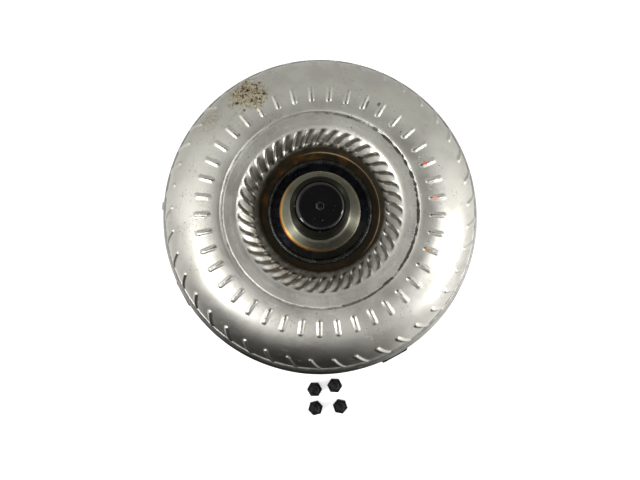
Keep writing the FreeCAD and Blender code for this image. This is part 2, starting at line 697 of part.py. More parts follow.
def damper_driven_ring():
    """The ring behind the turbine shell whose tabs reach down between the damper springs."""
    owner = body("damper_driven_ring")
    turned(owner, rectangle("driven_in_r", "driven_z", "driven_out_r", "driven_z + driven_sheet"))
    sketch = sketch_on(owner, "XZ_Plane", "driven_tab_section")
    outline(sketch, rectangle("driven_in_r", "driven_tab_z", "driven_out_r", "driven_z + 0.5"))
    tab = owner.newObject("PartDesign::Revolution", "driven_tab")
    tab.Profile = sketch
    tab.ReferenceAxis = (sketch, ["V_Axis"])
    tab.Midplane = True
    tab.setExpression("Angle", bound("stop_deg"))
    doc.recompute()
    repeat(owner, tab, "stop_count")
    keep(owner)


# ---------------------------------------------------------------- lock-up clutch and damper


def lockup_piston():
    owner = body("lockup_piston")
    turned(owner, [
        ("piston_bore_r", "piston_collar_z"),
        ("piston_collar_r", "piston_collar_z"),
        ("piston_collar_r", "piston_z"),
        ("piston_r", "piston_z"),
        ("piston_r", "piston_lip_z"),
        ("piston_r - piston_lip", "piston_lip_z"),
        ("piston_r - piston_lip", "piston_top_z"),
        ("piston_bore_r", "piston_top_z"),
    ])
    slot = sketch_on(owner, "YZ_Plane", "lip_slot")
    outline(slot, rectangle("-clutch_slot / 2", "piston_top_z", "clutch_slot / 2", "piston_lip_z + 1"))
    repeat(owner, cut(owner, slot, "piston_r + 5"), "clutch_teeth")
    keep(owner)


def friction_lining():
    owner = body("friction_lining")
    turned(owner, rectangle("lining_in_r", "lining_z", "lining_out_r", "piston_z"))
    keep(owner)


def damper_plate():
    """The disc that the piston's slots drive, with the channel and stops that hold the springs."""
    owner = body("damper_plate")
    top = "damper_z + damper_sheet"
    turned(owner, [
        ("piston_bore_r", "damper_z"),
        ("damper_wall_r", "damper_z"),
        ("damper_wall_r", "damper_wall_z"),
        ("damper_wall_r - 1.6", "damper_wall_z"),
        ("damper_wall_r - 1.6", top),
        ("piston_bore_r", top),
    ])
    tooth = sketch_on(owner, "XY_Plane", "drive_tooth", "damper_z")
    outline(tooth, rectangle("damper_wall_r - 2", "-damper_tooth / 2", "damper_tooth_r", "damper_tooth / 2"))
    repeat(owner, pad(owner, tooth, "damper_sheet"), "clutch_teeth")
    for name, low, high in (("inner_stop", "driven_in_r - 3.4", "driven_in_r - 0.7"),
                            ("outer_stop", "driven_out_r + 0.7", "damper_wall_r - 1")):
        sketch = sketch_on(owner, "XZ_Plane", name + "_section")
        outline(sketch, rectangle(low, "damper_z + 0.5", high, "damper_wall_z"))
        stop = owner.newObject("PartDesign::Revolution", name)
        stop.Profile = sketch
        stop.ReferenceAxis = (sketch, ["V_Axis"])
        stop.Midplane = True
        stop.setExpression("Angle", bound("stop_deg"))
        doc.recompute()
        repeat(owner, stop, "stop_count")
    keep(owner)


def damper_springs():
    wire_r = size("spring_wire / 2")
    mean_r = size("spring_r") - wire_r
    length = size("spring_length - spring_wire")
    pitch = length / size("spring_turns")
    helix = Part.makeHelix(pitch, length, mean_r)
    section = Part.Wire(Part.makeCircle(wire_r, Vector(mean_r, 0, 0), Vector(0, 1, 0)))
    coil = Part.Wire(helix.Edges).makePipeShell([section], True, True)
    coil.translate(Vector(0, 0, -length / 2))
    coil.rotate(Vector(0, 0, 0), Vector(1, 0, 0), 90)
    coil.translate(Vector(size("spring_from_axis"), 0, size("spring_z")))
    count = int(size("stop_count"))
    shape_node("damper_springs", Part.makeCompound(around(coil, count, 180 / count)))


# ---------------------------------------------------------------- stator and one-way clutch


def stator_wheel():
    blank = body("stator_blank")
    turned(blank, [
        ("stator_ring_in_r", "stator_lip_z"),
        ("stator_lip_r", "stator_lip_z"),
        ("stator_lip_r", "stator_z"),
        ("stator_collar_r", "stator_z"),
        ("stator_ring_r", "stator_ring_z + 1"),
        ("stator_ring_r", "stator_ring_top_z"),
        ("stator_collar_r", "stator_ring_top_z"),
        ("stator_collar_r", "stator_collar_z"),
        ("stator_ring_in_r", "stator_collar_z"),
        ("stator_ring_in_r", "ring_groove_z + ring_thick + 0.1"),
        ("ring_out_r + 0.1", "ring_groove_z + ring_thick + 0.1"),
        ("ring_out_r + 0.1", "ring_groove_z - 0.1"),
        ("stator_ring_in_r", "ring_groove_z - 0.1"),
    ])
    shroud = turned_shape([
        (size("shroud_in_r"), size("stator_ring_z + 2")),
        (size("shroud_r"), size("stator_ring_z + 2")),
        (size("shroud_r"), size("stator_ring_top_z - 3")),
        (size("shroud_in_r"), size("stator_ring_top_z - 3")),
    ])
    low, high = size("stator_ring_z + 1.5"), size("stator_ring_top_z - 2")
    rise = high - low
    profile = (
        (-5.5, 0.06), (-8.2, 0), (-6.5, 0.3), (-1.5, 0.62),
        (6.6, 0.98), (7.4, 1), (4.6, 0.7), (0.8, 0.3),
    )
    points = [Vector(size("stator_ring_r") - 3, y, low + share * rise) for y, share in profile]
    curve = Part.BSplineCurve()
    curve.interpolate(points, True)
    vane = Part.Face(Part.Wire(curve.toShape())).extrude(Vector(size("shroud_r - stator_ring_r") + 3, 0, 0))
    ring_space = turned_shape([
        (size("stator_ring_r") - 0.5, low - 5), (size("shroud_in_r") + 0.5, low - 5),
        (size("shroud_in_r") + 0.5, high + 5), (size("stator_ring_r") - 0.5, high + 5),
    ])
    vane = vane.common(ring_space)
    vanes = around(vane, int(size("stator_blade_count")))
    shape_node("stator_wheel", blank.Shape.multiFuse([shroud, *vanes]))


def clutch_outer_race():
    owner = body("clutch_outer_race")
    turned(owner, rectangle("race_in_r", "race_z", "race_out_r", "race_top_z"))
    pocket = sketch_on(owner, "XY_Plane", "roller_pocket", "race_z - 1")
    round_hole(pocket, "roller_circle_r + 0.1", "roller_r + 0.25")
    roller_cut = cut(owner, pocket, "race_top_z - race_z + 2")
    slot = sketch_on(owner, "XY_Plane", "spring_slot", "race_z - 1")
    outline(slot, rectangle("race_in_r - 1", "2", "race_in_r + 5", "8.8"))
    slot_cut = cut(owner, slot, "race_top_z - race_z + 2")
    pattern = repeat(owner, roller_cut, "roller_count")
    pattern.Originals = [roller_cut, slot_cut]
    doc.recompute()
    keep(owner)


def clutch_rollers():
    low = size("race_z + roller_end")
    one = Part.makeCylinder(size("roller_r"), size("race_top_z - race_z - 2 * roller_end"),
                            Vector(size("roller_circle_r"), 0, low))
    shape_node("clutch_rollers", Part.makeCompound(around(one, int(size("roller_count")))))


def roller_springs():
    """Folded leaf springs that push each roller towards the narrow end of its pocket."""
    near, far = size("race_in_r + 0.9"), size("race_in_r + 4.4")
    folds = [4.2, 5.3, 6.4, 7.5, 8.4]
    line = Part.makePolygon([Vector(near if k % 2 else far, y, 0) for k, y in enumerate(folds)])
    face = Part.Face(line.makeOffset2D(0.2, 0, False, False))
    one = face.extrude(Vector(0, 0, size("race_top_z - race_z") - 4))
    one.translate(Vector(0, 0, size("race_z") + 2))
    shape_node("roller_springs", Part.makeCompound(around(one, int(size("roller_count")))))


def clutch_inner_race():
    owner = body("clutch_inner_race")
    turned(owner, [
        ("inner_race_bore_r", "inner_race_z"),
        ("inner_race_r - 1", "inner_race_z"),
        ("inner_race_r", "inner_race_z + 1"),
        ("inner_race_r", "inner_race_top_z - 1"),
        ("inner_race_r - 1", "inner_race_top_z"),
        ("inner_race_bore_r", "inner_race_top_z"),
    ])
    groove = sketch_on(owner, "XY_Plane", "stator_shaft_spline", "inner_race_z - 1")
    outline(groove, rectangle("inner_race_bore_r - 2", "-1.15", "inner_race_bore_r + shaft_groove", "1.15"))
    repeat(owner, cut(owner, groove, "inner_race_top_z - inner_race_z + 2"), "shaft_teeth")
    keep(owner)


def clutch_end_plate():
    owner = body("clutch_end_plate")
    turned(owner, rectangle("plate_in_r", "race_top_z + 0.1", "race_out_r", "plate_top_z"))
    keep(owner)


def snap_ring():
    owner = body("snap_ring")
    turned(owner, rectangle("ring_in_r", "ring_groove_z", "ring_out_r", "ring_groove_z + ring_thick"))
    owner.Tip.Angle = 348
    doc.recompute()
    keep(owner)


# ---------------------------------------------------------------- thrust bearings


def thrust_bearing(name, low, inner, outer):
    """Two race washers and a caged ring of radial needles, stacked upwards from low."""
    middle = f"({low} + thrust_race + 0.05 + needle_r)"
    for part, base in (("lower", low), ("upper", f"{low} + thrust_race + 0.1 + 2 * needle_r")):
        owner = body(f"{name}_{part}_race")
        turned(owner, rectangle(inner, base, outer, base + " + thrust_race"))
        keep(owner)
    cage = body(f"{name}_cage")
    turned(cage, rectangle(inner + " + 0.4", f"{middle} - cage_thick / 2", outer + " - 0.4",
                           f"{middle} + cage_thick / 2"))
    window = sketch_on(cage, "XY_Plane", name + "_window", f"{middle} - 1")
    outline(window, rectangle(inner + " + 1.5", "-needle_r - 0.06", outer + " - 1.5", "needle_r + 0.06"))
    repeat(cage, cut(cage, window, "2"), "needle_count")
    keep(cage)
    start, length = size(inner + " + 1.6"), size(f"{outer} - ({inner}) - 3.2")
    needle = Part.makeCylinder(size("needle_r"), length, Vector(start, 0, size(middle)), Vector(1, 0, 0))
    shape_node(f"{name}_needles", Part.makeCompound(around(needle, int(size("needle_count")))))


# ---------------------------------------------------------------- loose bolts


def flexplate_bolt(number, x, y, turn):
    owner = body(f"flexplate_bolt_{number}")
    head = sketch_on(owner, "XY_Plane", f"bolt_{number}_head")
    hexagon(head, "bolt_flats", "0", "0", turn)
    pad(owner, head, "bolt_head")
    crown = sketch_on(owner, "XZ_Plane", f"bolt_{number}_crown")
    outline(crown, [
        ("bolt_flats * 0.47", "0"),
        ("bolt_flats * 0.7", "0"),
        ("bolt_flats * 0.7", "bolt_flats * 0.23 * tan(30)"),
    ])
    groove = owner.newObject("PartDesign::Groove", f"bolt_{number}_crown_cut")
    groove.Profile = crown
    groove.ReferenceAxis = (crown, ["V_Axis"])
    groove.Angle = 360
    shank = sketch_on(owner, "XZ_Plane", f"bolt_{number}_shank")
    outline(shank, [
        ("0", "bolt_head - 0.5"),
        ("bolt_r", "bolt_head - 0.5"),
        ("bolt_r", "bolt_head + bolt_length - bolt_chamfer"),
        ("bolt_r - bolt_chamfer", "bolt_head + bolt_length"),
        ("0", "bolt_head + bolt_length"),
    ])
    round_bar = owner.newObject("PartDesign::Revolution", f"bolt_{number}_bar")
    round_bar.Profile = shank
    round_bar.ReferenceAxis = (shank, ["V_Axis"])
    round_bar.Angle = 360
    owner.Placement = Placement(Vector(x, y, 0), Rotation())
    doc.recompute()
    keep(owner)


# ---------------------------------------------------------------- build, check, write


def build():
    front_cover()
    pilot_hub()
    drive_lugs()
    balance_weight()
    seam_weld()
    impeller_shell()
    pump_hub()
    hub_weld()
    hub_plug()
    core_ring("impeller_core_ring", 1)
    core_ring("turbine_core_ring", -1)
    impeller_blades()
    turbine_shell()
    turbine_blades()
    turbine_hub()
    turbine_rivets()
    piston_seal()
    damper_driven_ring()
    lockup_piston()
    friction_lining()
    damper_plate()
    damper_springs()
    stator_wheel()
    clutch_outer_race()
    clutch_rollers()
    roller_springs()
    clutch_inner_race()
    clutch_end_plate()
    snap_ring()
    thrust_bearing("cover_bearing", "dish_z + cover_wall + 0.05", "18", "29")
    thrust_bearing("turbine_bearing", "turbine_hub_top_z + 0.1", "30", "42")
    thrust_bearing("impeller_bearing", "plate_top_z + 0.05", "30", "42")
    for number, (x, y, turn) in enumerate(BOLTS, start=1):
        flexplate_bolt(number, x, y, turn)


def check():
    """Stops if any object failed, or a node's shape is empty or invalid."""
    doc.recompute()
    for made in doc.Objects:
        if "Invalid" in made.State or "Error" in made.State:
            raise ValueError(f"{made.Label} is {made.State}")
    for node, made in NODES.items():
        if made.Shape.isNull() or not made.Shape.isValid() or not made.Shape.Solids:
            raise ValueError(f"{node} has no valid solid")


def write():
    os.makedirs("parts", exist_ok=True)
    for node, made in NODES.items():
        made.Shape.exportStep(f"parts/{node}.step")


build()
check()
write()
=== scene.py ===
import math

import bpy
import numpy as np
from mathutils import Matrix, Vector


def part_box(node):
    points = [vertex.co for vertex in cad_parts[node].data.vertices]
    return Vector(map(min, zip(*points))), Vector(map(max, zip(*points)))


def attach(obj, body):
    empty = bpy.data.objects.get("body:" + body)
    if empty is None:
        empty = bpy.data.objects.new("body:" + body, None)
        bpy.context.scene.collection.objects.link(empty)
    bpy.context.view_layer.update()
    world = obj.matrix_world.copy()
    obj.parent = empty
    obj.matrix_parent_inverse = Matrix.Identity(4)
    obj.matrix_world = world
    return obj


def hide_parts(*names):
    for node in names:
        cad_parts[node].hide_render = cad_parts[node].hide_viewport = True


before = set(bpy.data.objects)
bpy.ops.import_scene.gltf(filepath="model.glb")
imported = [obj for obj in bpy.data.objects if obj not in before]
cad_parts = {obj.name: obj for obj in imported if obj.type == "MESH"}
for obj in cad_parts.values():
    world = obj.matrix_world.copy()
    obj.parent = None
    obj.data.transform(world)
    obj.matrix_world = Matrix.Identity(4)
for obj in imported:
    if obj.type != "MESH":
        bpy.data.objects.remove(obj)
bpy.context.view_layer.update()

MM = 0.001
TAU = 2 * math.pi

# The impeller shell's rows: the tabs in each, the angle of one middle tab in degrees, and the ribs' radius,
# their lead on the tabs in degrees and how many degrees they turn for each mm inwards.
TABS = 41
PITCH = TAU / TABS
PITCH_DEG = 360 / TABS
MIDDLE_TAB = 6.4
RIB_MIDDLE = 66.0
RIB_LEAD = 0.4
RIB_TURN = 0.58

# The drive lugs: inner and outer ends, half width, bolt circle, hole and the first one's angle.
LUG_IN, LUG_OUT, LUG_HALF_WIDTH = 121, 153.2, 14.2
LUG_BOLT_CIRCLE, LUG_HOLE_R, LUG_ANGLE = 137, 4.1, 28.7
PLUG_TOP = 155.2
# How far each loose bolt's head is turned, in degrees.
BOLT_TURNS = (0, -3, 14, -11)

STEEL_DARK = (0.46, 0.45, 0.41)
STEEL_LIGHT = (0.58, 0.57, 0.53)
STEEL_GREEN = (0.49, 0.495, 0.43)
# Rust patches: radius and angle of the middle, half sizes in mm and degrees, strength.
RUST = (
    (127, 122.5, 14, 8.5, 1.3),
    (117, 118, 10, 7, 1.0),
    (129, 140, 9, 7, 0.35),
    (134, 203, 6, 3, 0.6),
    (131, 246, 4, 3, 0.3),
)
# Three dabs of paint and five black marks: the same, with a colour in place of a strength.
DABS = (
    (103, 24.3, 2.4, 1.1, (0.62, 0.06, 0.03)),
    (103, 6.3, 2.4, 0.8, (0.75, 0.22, 0.17)),
    (101, -20.4, 2.8, 0.9, (0.35, 0.16, 0.05)),
    (104, 66, 4.5, 0.7, (0.06, 0.05, 0.04)),
    (109, 61, 2.2, 0.8, (0.05, 0.045, 0.04)),
    (88, 56, 2.0, 2.2, (0.05, 0.05, 0.045)),
    (113, 127, 1.6, 0.7, (0.04, 0.035, 0.03)),
    (99, 137, 1.2, 0.9, (0.07, 0.06, 0.05)),
)


# ---------------------------------------------------------------- mesh helpers


def mesh_object(name, vertices, faces, sharp=35):
    """A smooth-shaded object, with edges bent by more than sharp degrees kept crisp."""
    mesh = bpy.data.meshes.new(name)
    mesh.from_pydata([tuple(v) for v in vertices], [], faces)
    mesh.polygons.foreach_set("use_smooth", [True] * len(mesh.polygons))
    mesh.set_sharp_from_angle(angle=math.radians(sharp))
    mesh.validate()
    mesh.update()
    made = bpy.data.objects.new(name, mesh)
    bpy.context.scene.collection.objects.link(made)
    return made


def skin(name, points, loop, sharp=35):
    """A closed mesh over points[ring, step, xyz] in mm. The rings join round into a torus if loop,
    or else each end closes on a point in the middle of its ring."""
    rings, steps = points.shape[:2]
    vertices = list(points.reshape(-1, 3) * MM)
    faces = []
    for a in range(rings if loop else rings - 1):
        b = (a + 1) % rings
        for i in range(steps):
            j = (i + 1) % steps
            faces.append((a * steps + i, a * steps + j, b * steps + j, b * steps + i))
    if not loop:
        for ring, flip in ((0, True), (rings - 1, False)):
            middle = len(vertices)
            vertices.append(points[ring].mean(axis=0) * MM)
            for i in range(steps):
                j = (i + 1) % steps
                a, b = ring * steps + i, ring * steps + j
                faces.append((middle, b, a) if flip else (middle, a, b))
    return mesh_object(name, vertices, faces, sharp)


def soften(outline, radius, steps=4):
    """A closed outline's corners rounded off; radius is one number or one for each corner."""
    count = len(outline)
    points = [np.array(p, float) for p in outline]
    radii = [radius] * count if np.isscalar(radius) else radius
    rounded = []
    for k, corner in enumerate(points):
        before, after = points[k - 1] - corner, points[(k + 1) % count] - corner
        lengths = np.linalg.norm(before), np.linalg.norm(after)
        cut = min(radii[k], 0.45 * min(lengths))
        start, end = corner + before / lengths[0] * cut, corner + after / lengths[1] * cut
        for t in np.linspace(0, 1, steps):
            rounded.append(start * (1 - t) ** 2 + corner * 2 * t * (1 - t) + end * t**2)
    return np.array(rounded)


def divide(outline, step):
    """The same closed outline with points no further apart than step."""
    dense = []
    for k, a in enumerate(outline):
        b = outline[(k + 1) % len(outline)]
        pieces = max(1, math.ceil(np.linalg.norm(b - a) / step))
        dense += [a + (b - a) * i / pieces for i in range(pieces)]
    return np.array(dense)


def arc(centre, radius, start, end, steps):
    """Points on a circle between two angles in degrees."""
    angles = np.radians(np.linspace(start, end, steps))
    return [(centre[0] + radius * math.cos(a), centre[1] + radius * math.sin(a)) for a in angles]


def turn(outline, steps):
    """Points round the Z axis for an outline of (radius, height)."""
    angle = np.linspace(0, TAU, steps, endpoint=False)
    points = np.zeros((len(outline), steps, 3))
    points[..., 0] = outline[:, 0:1] * np.cos(angle)
    points[..., 1] = outline[:, 0:1] * np.sin(angle)
    points[..., 2] = outline[:, 1:2]
    return points


def waves(points, size, seed, count=14):
    """A smooth random height, about -1 to 1, at each point; size is the usual wavelength in mm."""
    chance = np.random.default_rng(seed)
    total = np.zeros(points.shape[:-1])
    for _ in range(count):
        way = chance.normal(size=3)
        way *= TAU / (size * chance.uniform(0.6, 1.6)) / np.linalg.norm(way)
        total += np.sin(points @ way + chance.uniform(0, TAU))
    return total / math.sqrt(count)


def smooth(low, high, value):
    """0 below low, 1 above high and an S-curve between."""
    t = np.clip((value - low) / (high - low), 0, 1)
    return t * t * (3 - 2 * t)


def place(piece, body, material, slot, *nodes):
    """Puts a finished piece on its body, in place of the CAD nodes it stands for."""
    piece.data.materials.append(material)
    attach(piece, body)
    if nodes:
        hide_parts(*nodes)
    return piece


# ---------------------------------------------------------------- shader helpers


class Wire:
    """A value in a node tree that can be worked with like a number."""

    def __init__(self, tree, socket):
        self.tree, self.socket = tree, socket

    def apply(self, kind, *others):
        """The result of a Math node of this kind."""
        node = self.tree.nodes.new("ShaderNodeMath")
        node.operation = kind
        for slot, value in zip(node.inputs, (self, *others)):
            if isinstance(value, Wire):
                self.tree.links.new(value.socket, slot)
            else:
                slot.default_value = value
        return Wire(self.tree, node.outputs[0])

    def __add__(self, other):
        return self.apply("ADD", other)

    def __sub__(self, other):
        return self.apply("SUBTRACT", other)

    def __mul__(self, other):
        return self.apply("MULTIPLY", other)

    def __truediv__(self, other):
        return self.apply("DIVIDE", other)

    def max(self, other):
        return self.apply("MAXIMUM", other)

    def min(self, other):
        return self.apply("MINIMUM", other)

    def abs(self):
        return self.apply("ABSOLUTE")

    def root(self):
        return self.apply("SQRT")

    def squared(self):
        return self.apply("POWER", 2)

    def flip(self):
        return self * -1 + 1

    def ramp(self, low, high, smoothly=True):
        """0 at low and 1 at high."""
        node = self.tree.nodes.new("ShaderNodeMapRange")
        node.interpolation_type = "SMOOTHSTEP" if smoothly else "LINEAR"
        node.clamp = True
        if low > high:
            return self.ramp(high, low, smoothly).flip()
        self.tree.links.new(self.socket, node.inputs["Value"])
        node.inputs["From Min"].default_value = low
        node.inputs["From Max"].default_value = high
        return Wire(self.tree, node.outputs[0])

    def band(self, middle, half, soft):
        """1 within half of middle, fading to 0 over soft."""
        return (self - middle).abs().ramp(half + soft, half)


def oval(across, along):
    """0 in the middle of an oval and 1 at its rim; both offsets are in half sizes."""
    return (across.squared() + along.squared()).root()


class Surface:
    """A material being made: object coordinates, polar coordinates, noises and a Principled shader."""

    def __init__(self, name):
        self.material = bpy.data.materials.new(name)
        self.material.use_nodes = True
        self.tree = self.material.node_tree
        self.shader = self.tree.nodes["Principled BSDF"]
        self.coords = self.tree.nodes.new("ShaderNodeTexCoord").outputs["Object"]
        split = self.tree.nodes.new("ShaderNodeSeparateXYZ")
        self.tree.links.new(self.coords, split.inputs[0])
        self.x, self.y, self.z = (Wire(self.tree, split.outputs[k]) * 1000 for k in range(3))
        self.height = None

    def set(self, **values):
        for name, value in values.items():
            socket = self.shader.inputs[name.replace("_", " ")]
            if isinstance(value, Wire):
                self.tree.links.new(value.socket, socket)
            elif hasattr(value, "links"):
                self.tree.links.new(value, socket)
            else:
                socket.default_value = value
        return self

    def polar(self):
        """Radius in mm and angle in degrees round the Z axis."""
        radius = (self.x * self.x + self.y * self.y).root()
        angle = self.y.apply("ARCTAN2", self.x) * (360 / TAU)
        return radius, angle

    def noise(self, size, detail=4, rough=0.55, stretch=(1, 1, 1), distort=0, offset=0):
        """Noise of about this grain in mm, spread over roughly 0.3 to 0.7."""
        mapping = self.tree.nodes.new("ShaderNodeMapping")
        mapping.inputs["Location"].default_value = (offset, offset * 1.7, offset * 0.6)
        mapping.inputs["Scale"].default_value = [1000 / size / k for k in stretch]
        self.tree.links.new(self.coords, mapping.inputs[0])
        node = self.tree.nodes.new("ShaderNodeTexNoise")
        node.inputs["Scale"].default_value = 1
        node.inputs["Detail"].default_value = detail
        node.inputs["Roughness"].default_value = rough
        node.inputs["Distortion"].default_value = distort
        self.tree.links.new(mapping.outputs[0], node.inputs["Vector"])
        return Wire(self.tree, node.outputs["Fac"])

    def ring_noise(self, value, size, detail=2):
        """Noise along one value only, such as the radius of a turned face."""
        join = self.tree.nodes.new("ShaderNodeCombineXYZ")
        self.tree.links.new((value / size).socket, join.inputs[0])
        node = self.tree.nodes.new("ShaderNodeTexNoise")
        node.inputs["Scale"].default_value = 1
        node.inputs["Detail"].default_value = detail
        self.tree.links.new(join.outputs[0], node.inputs["Vector"])
        return Wire(self.tree, node.outputs["Fac"])

    def specks(self, size, jitter=1.0, offset=0):
        """Distance from the nearest of many scattered points, in units of their spacing."""
        mapping = self.tree.nodes.new("ShaderNodeMapping")
        mapping.inputs["Location"].default_value = (offset, offset, offset)
        mapping.inputs["Scale"].default_value = [1000 / size] * 3
        self.tree.links.new(self.coords, mapping.inputs[0])
        node = self.tree.nodes.new("ShaderNodeTexVoronoi")
        node.inputs["Scale"].default_value = 1
        node.inputs["Randomness"].default_value = jitter
        self.tree.links.new(mapping.outputs[0], node.inputs["Vector"])
        return Wire(self.tree, node.outputs["Distance"])

    def mix(self, amount, below, above):
        """A colour between two, each a triple or a socket."""
        node = self.tree.nodes.new("ShaderNodeMix")
        node.data_type = "RGBA"
        if isinstance(amount, Wire):
            self.tree.links.new(amount.socket, node.inputs[0])
        else:
            node.inputs[0].default_value = amount
        for socket, colour in ((node.inputs[6], below), (node.inputs[7], above)):
            if hasattr(colour, "links"):
                self.tree.links.new(colour, socket)
            else:
                socket.default_value = (*colour, 1)
        return node.outputs[2]

    def teeth(self, value, pitch):
        """0 where the value is a multiple of the pitch, and 1 halfway between."""
        return ((value / pitch + 0.5).apply("FRACT") - 0.5).abs() * 2

    def edges(self):
        """About 0.5 on flat places, more on convex edges."""
        node = self.tree.nodes.new("ShaderNodeNewGeometry")
        return Wire(self.tree, node.outputs["Pointiness"])

    def raise_by(self, amount):
        """Adds a height in mm to the surface's bump."""
        self.height = amount if self.height is None else self.height + amount
        return self

    def done(self):
        if self.height is not None:
            bump = self.tree.nodes.new("ShaderNodeBump")
            bump.inputs["Strength"].default_value = 1
            bump.inputs["Distance"].default_value = MM
            self.tree.links.new(self.height.socket, bump.inputs["Height"])
            self.tree.links.new(bump.outputs[0], self.shader.inputs["Normal"])
        return self.material

    def turned(self, amount, rotation=0.0):
        """Highlights stretched as on a face turned in a lathe about the Z axis."""
        tangent = self.tree.nodes.new("ShaderNodeTangent")
        tangent.direction_type = "RADIAL"
        tangent.axis = "Z"
        self.tree.links.new(tangent.outputs[0], self.shader.inputs["Tangent"])
        return self.set(Anisotropic=amount, Anisotropic_Rotation=rotation)


# ---------------------------------------------------------------- materials


def burnt_well(s, radius, angle, colour, rough):
    """Oil and burnt dirt down in the shell's well, with painted shade between the ribs, a painted highlight
    on their steep sides and a painted glint on the edge under the weld.
    """
    turned_in = angle - MIDDLE_TAB - RIB_LEAD + (radius - RIB_MIDDLE) * RIB_TURN
    from_drop = s.teeth(turned_in + 1.3, PITCH_DEG)
    # Painted highlight: the steep side of each rib is painted near white.
    painted_drop_highlight = from_drop.ramp(0.42, 0.2) * radius.ramp(75, 71) * radius.ramp(59.8, 62.5)
    colour = s.mix(painted_drop_highlight * 0.95, colour, (0.98, 0.96, 0.88))
    rough = rough - painted_drop_highlight * 0.05
    patchy = s.noise(5, 3, offset=17).ramp(0.3, 0.6) * 0.3 + 0.7
    # Painted shade: dark brown between the ribs, deepening inwards, cut to half towards the east.
    less_shade_east = angle.abs().ramp(70, 25) * 0.5
    painted_valley_shade = radius.ramp(71.5, 61.5) * painted_drop_highlight.flip() * patchy * less_shade_east.flip()
    colour = s.mix(painted_valley_shade * 0.9, colour, (0.07, 0.06, 0.04))
    off_centre = radius - s.x * 0.033 - s.y * 0.037
    burnt = (off_centre + (s.noise(9, 3, offset=19) - 0.5) * 4 - painted_drop_highlight * 1.5).ramp(61, 55.5)
    upper = (angle - 120).abs().ramp(95, 35)
    blotch = s.noise(16, 3, offset=21).ramp(0.4, 0.7) * radius.ramp(58, 54) * (upper * 0.8 + 0.12)
    colour = s.mix(burnt * 0.98, colour, s.mix(blotch, (0.012, 0.009, 0.004), (0.075, 0.032, 0.005)))
    # Painted highlight: a gold glint along the step's edge under the weld, strongest up and to the right.
    lit = (angle - 32).abs().ramp(85, 42)
    painted_edge_glint = radius.band(53.9, 0.2, 0.45) * (lit * 0.94 + 0.06)
    colour = s.mix(painted_edge_glint * 0.9, colour, (0.9, 0.66, 0.34))
    return colour, rough - painted_edge_glint * 0.12 - burnt * 0.06, (burnt * 0.3).flip()


def groove_dirt(s, radius, angle):
    """Black dirt packed in the groove, strongest to the right and left."""
    wobble = (s.noise(4, 4, 0.65, offset=31) - 0.5) * 2.6
    sides = (angle / 57.3).apply("COSINE").ramp(-0.5, 0.8) * 0.45 + 0.5
    width = s.noise(10, 3, 0.6, offset=35).ramp(0.35, 0.6) * 1.3
    off_line = (radius + wobble * 0.5 - 87.5).abs() - width * sides
    line = off_line.ramp(0.55, -0.1) * sides
    smear = (radius + wobble).band(86.4, 2.0, 3.2)
    smear = smear * s.noise(5, 5, 0.75, offset=38).ramp(0.52, 0.64) * 0.6
    inner = (radius + wobble * 0.5).band(80.2, 0.5, 1.2)
    inner = inner * s.noise(13, 3, offset=41).ramp(0.42, 0.6) * 0.35
    return (line + smear * sides + inner).min(1)


def tab_dirt(s, radius, angle):
    """Dirt in a thin line along the top of each middle tab, and a blot at its inner end."""
    from_tab = s.teeth(angle - MIDDLE_TAB, PITCH_DEG) * radius * (PITCH / 2)
    crease = from_tab.ramp(0.85, 0.25) * radius.band(105, 6.6, 0.8)
    broken = s.noise(2.4, 3, 0.7, offset=43).ramp(0.38, 0.56)
    crease = crease * (broken * 0.5 + radius.ramp(112, 99) * 0.45)
    heel = oval((radius - 99) / 2.0, from_tab / 1.3)
    heel = (heel + (s.noise(2.0, 3, offset=44) - 0.5) * 1.6).ramp(1.15, 0.5)
    return crease, heel * s.noise(26, 2, offset=45).ramp(0.36, 0.55) * 0.85


def shell_marks(s, radius, angle, colour, rough):
    """The impeller shell's marks from the well out to the shoulder, with the well's painted shade and
    highlights.
    """
    colour, rough, metal = burnt_well(s, radius, angle, colour, rough)
    crease, heel = tab_dirt(s, radius, angle)
    dirt = groove_dirt(s, radius, angle).max(crease).max(heel)
    colour = s.mix(dirt, colour, (0.03, 0.027, 0.024))
    metal = metal - dirt * 0.8
    rough = rough + dirt * 0.3

    for middle_r, middle_a, size_r, size_a, strength in RUST:
        away = oval((radius - middle_r) / size_r, (angle - middle_a) / size_a)
        area = (away + (s.noise(12, 4, offset=middle_r) - 0.5) * 1.6).ramp(1.15, 0.4) * strength
        speckle = s.noise(2.2, 4, 0.75, offset=middle_a).ramp(0.49, 0.55)
        black = s.noise(2.6, 3, 0.75, offset=middle_a + 7).ramp(0.52, 0.57)
        colour = s.mix(area * 0.6, colour, (0.50, 0.45, 0.32))
        colour = s.mix(area * speckle * 0.8, colour, (0.19, 0.14, 0.075))
        colour = s.mix(area * black, colour, (0.03, 0.02, 0.015))
        metal = metal - area * speckle * 0.9
        rough = rough + area * 0.25

    for middle_r, middle_a, size_r, size_a, tint in DABS:
        away = oval((radius - middle_r) / size_r, (angle - middle_a) / size_a)
        dab = (away + (s.noise(2.2, 3, offset=middle_a) - 0.5) * 1.5).ramp(1.0, 0.7)
        colour = s.mix(dab * 0.85, colour, tint)
        metal = metal - dab * 0.8
    return colour, rough, metal.max(0)


def cover_shade_and_rust(s, colour):
    """Painted shade darkening the whole skin in cloudy patches, darker and browner towards the bottom, and
    light rust spots.
    """
    # Painted shade: the whole skin is darkened in cloudy patches.
    colour = s.mix(s.noise(25, 3, offset=48).ramp(0.3, 0.6) * 0.3 + 0.35, colour, (0.13, 0.125, 0.11))
    low = s.z.ramp(34, 12) * s.noise(14, 4, offset=51).ramp(0.4, 0.7)
    colour = s.mix(low * 0.5, colour, (0.19, 0.15, 0.10))
    spots = s.noise(3, 4, 0.7, offset=55).ramp(0.62, 0.7) * s.noise(30, 2, offset=58).ramp(0.5, 0.65)
    return s.mix(spots * 0.8, colour, (0.16, 0.08, 0.04)), (spots * 0.7).flip()


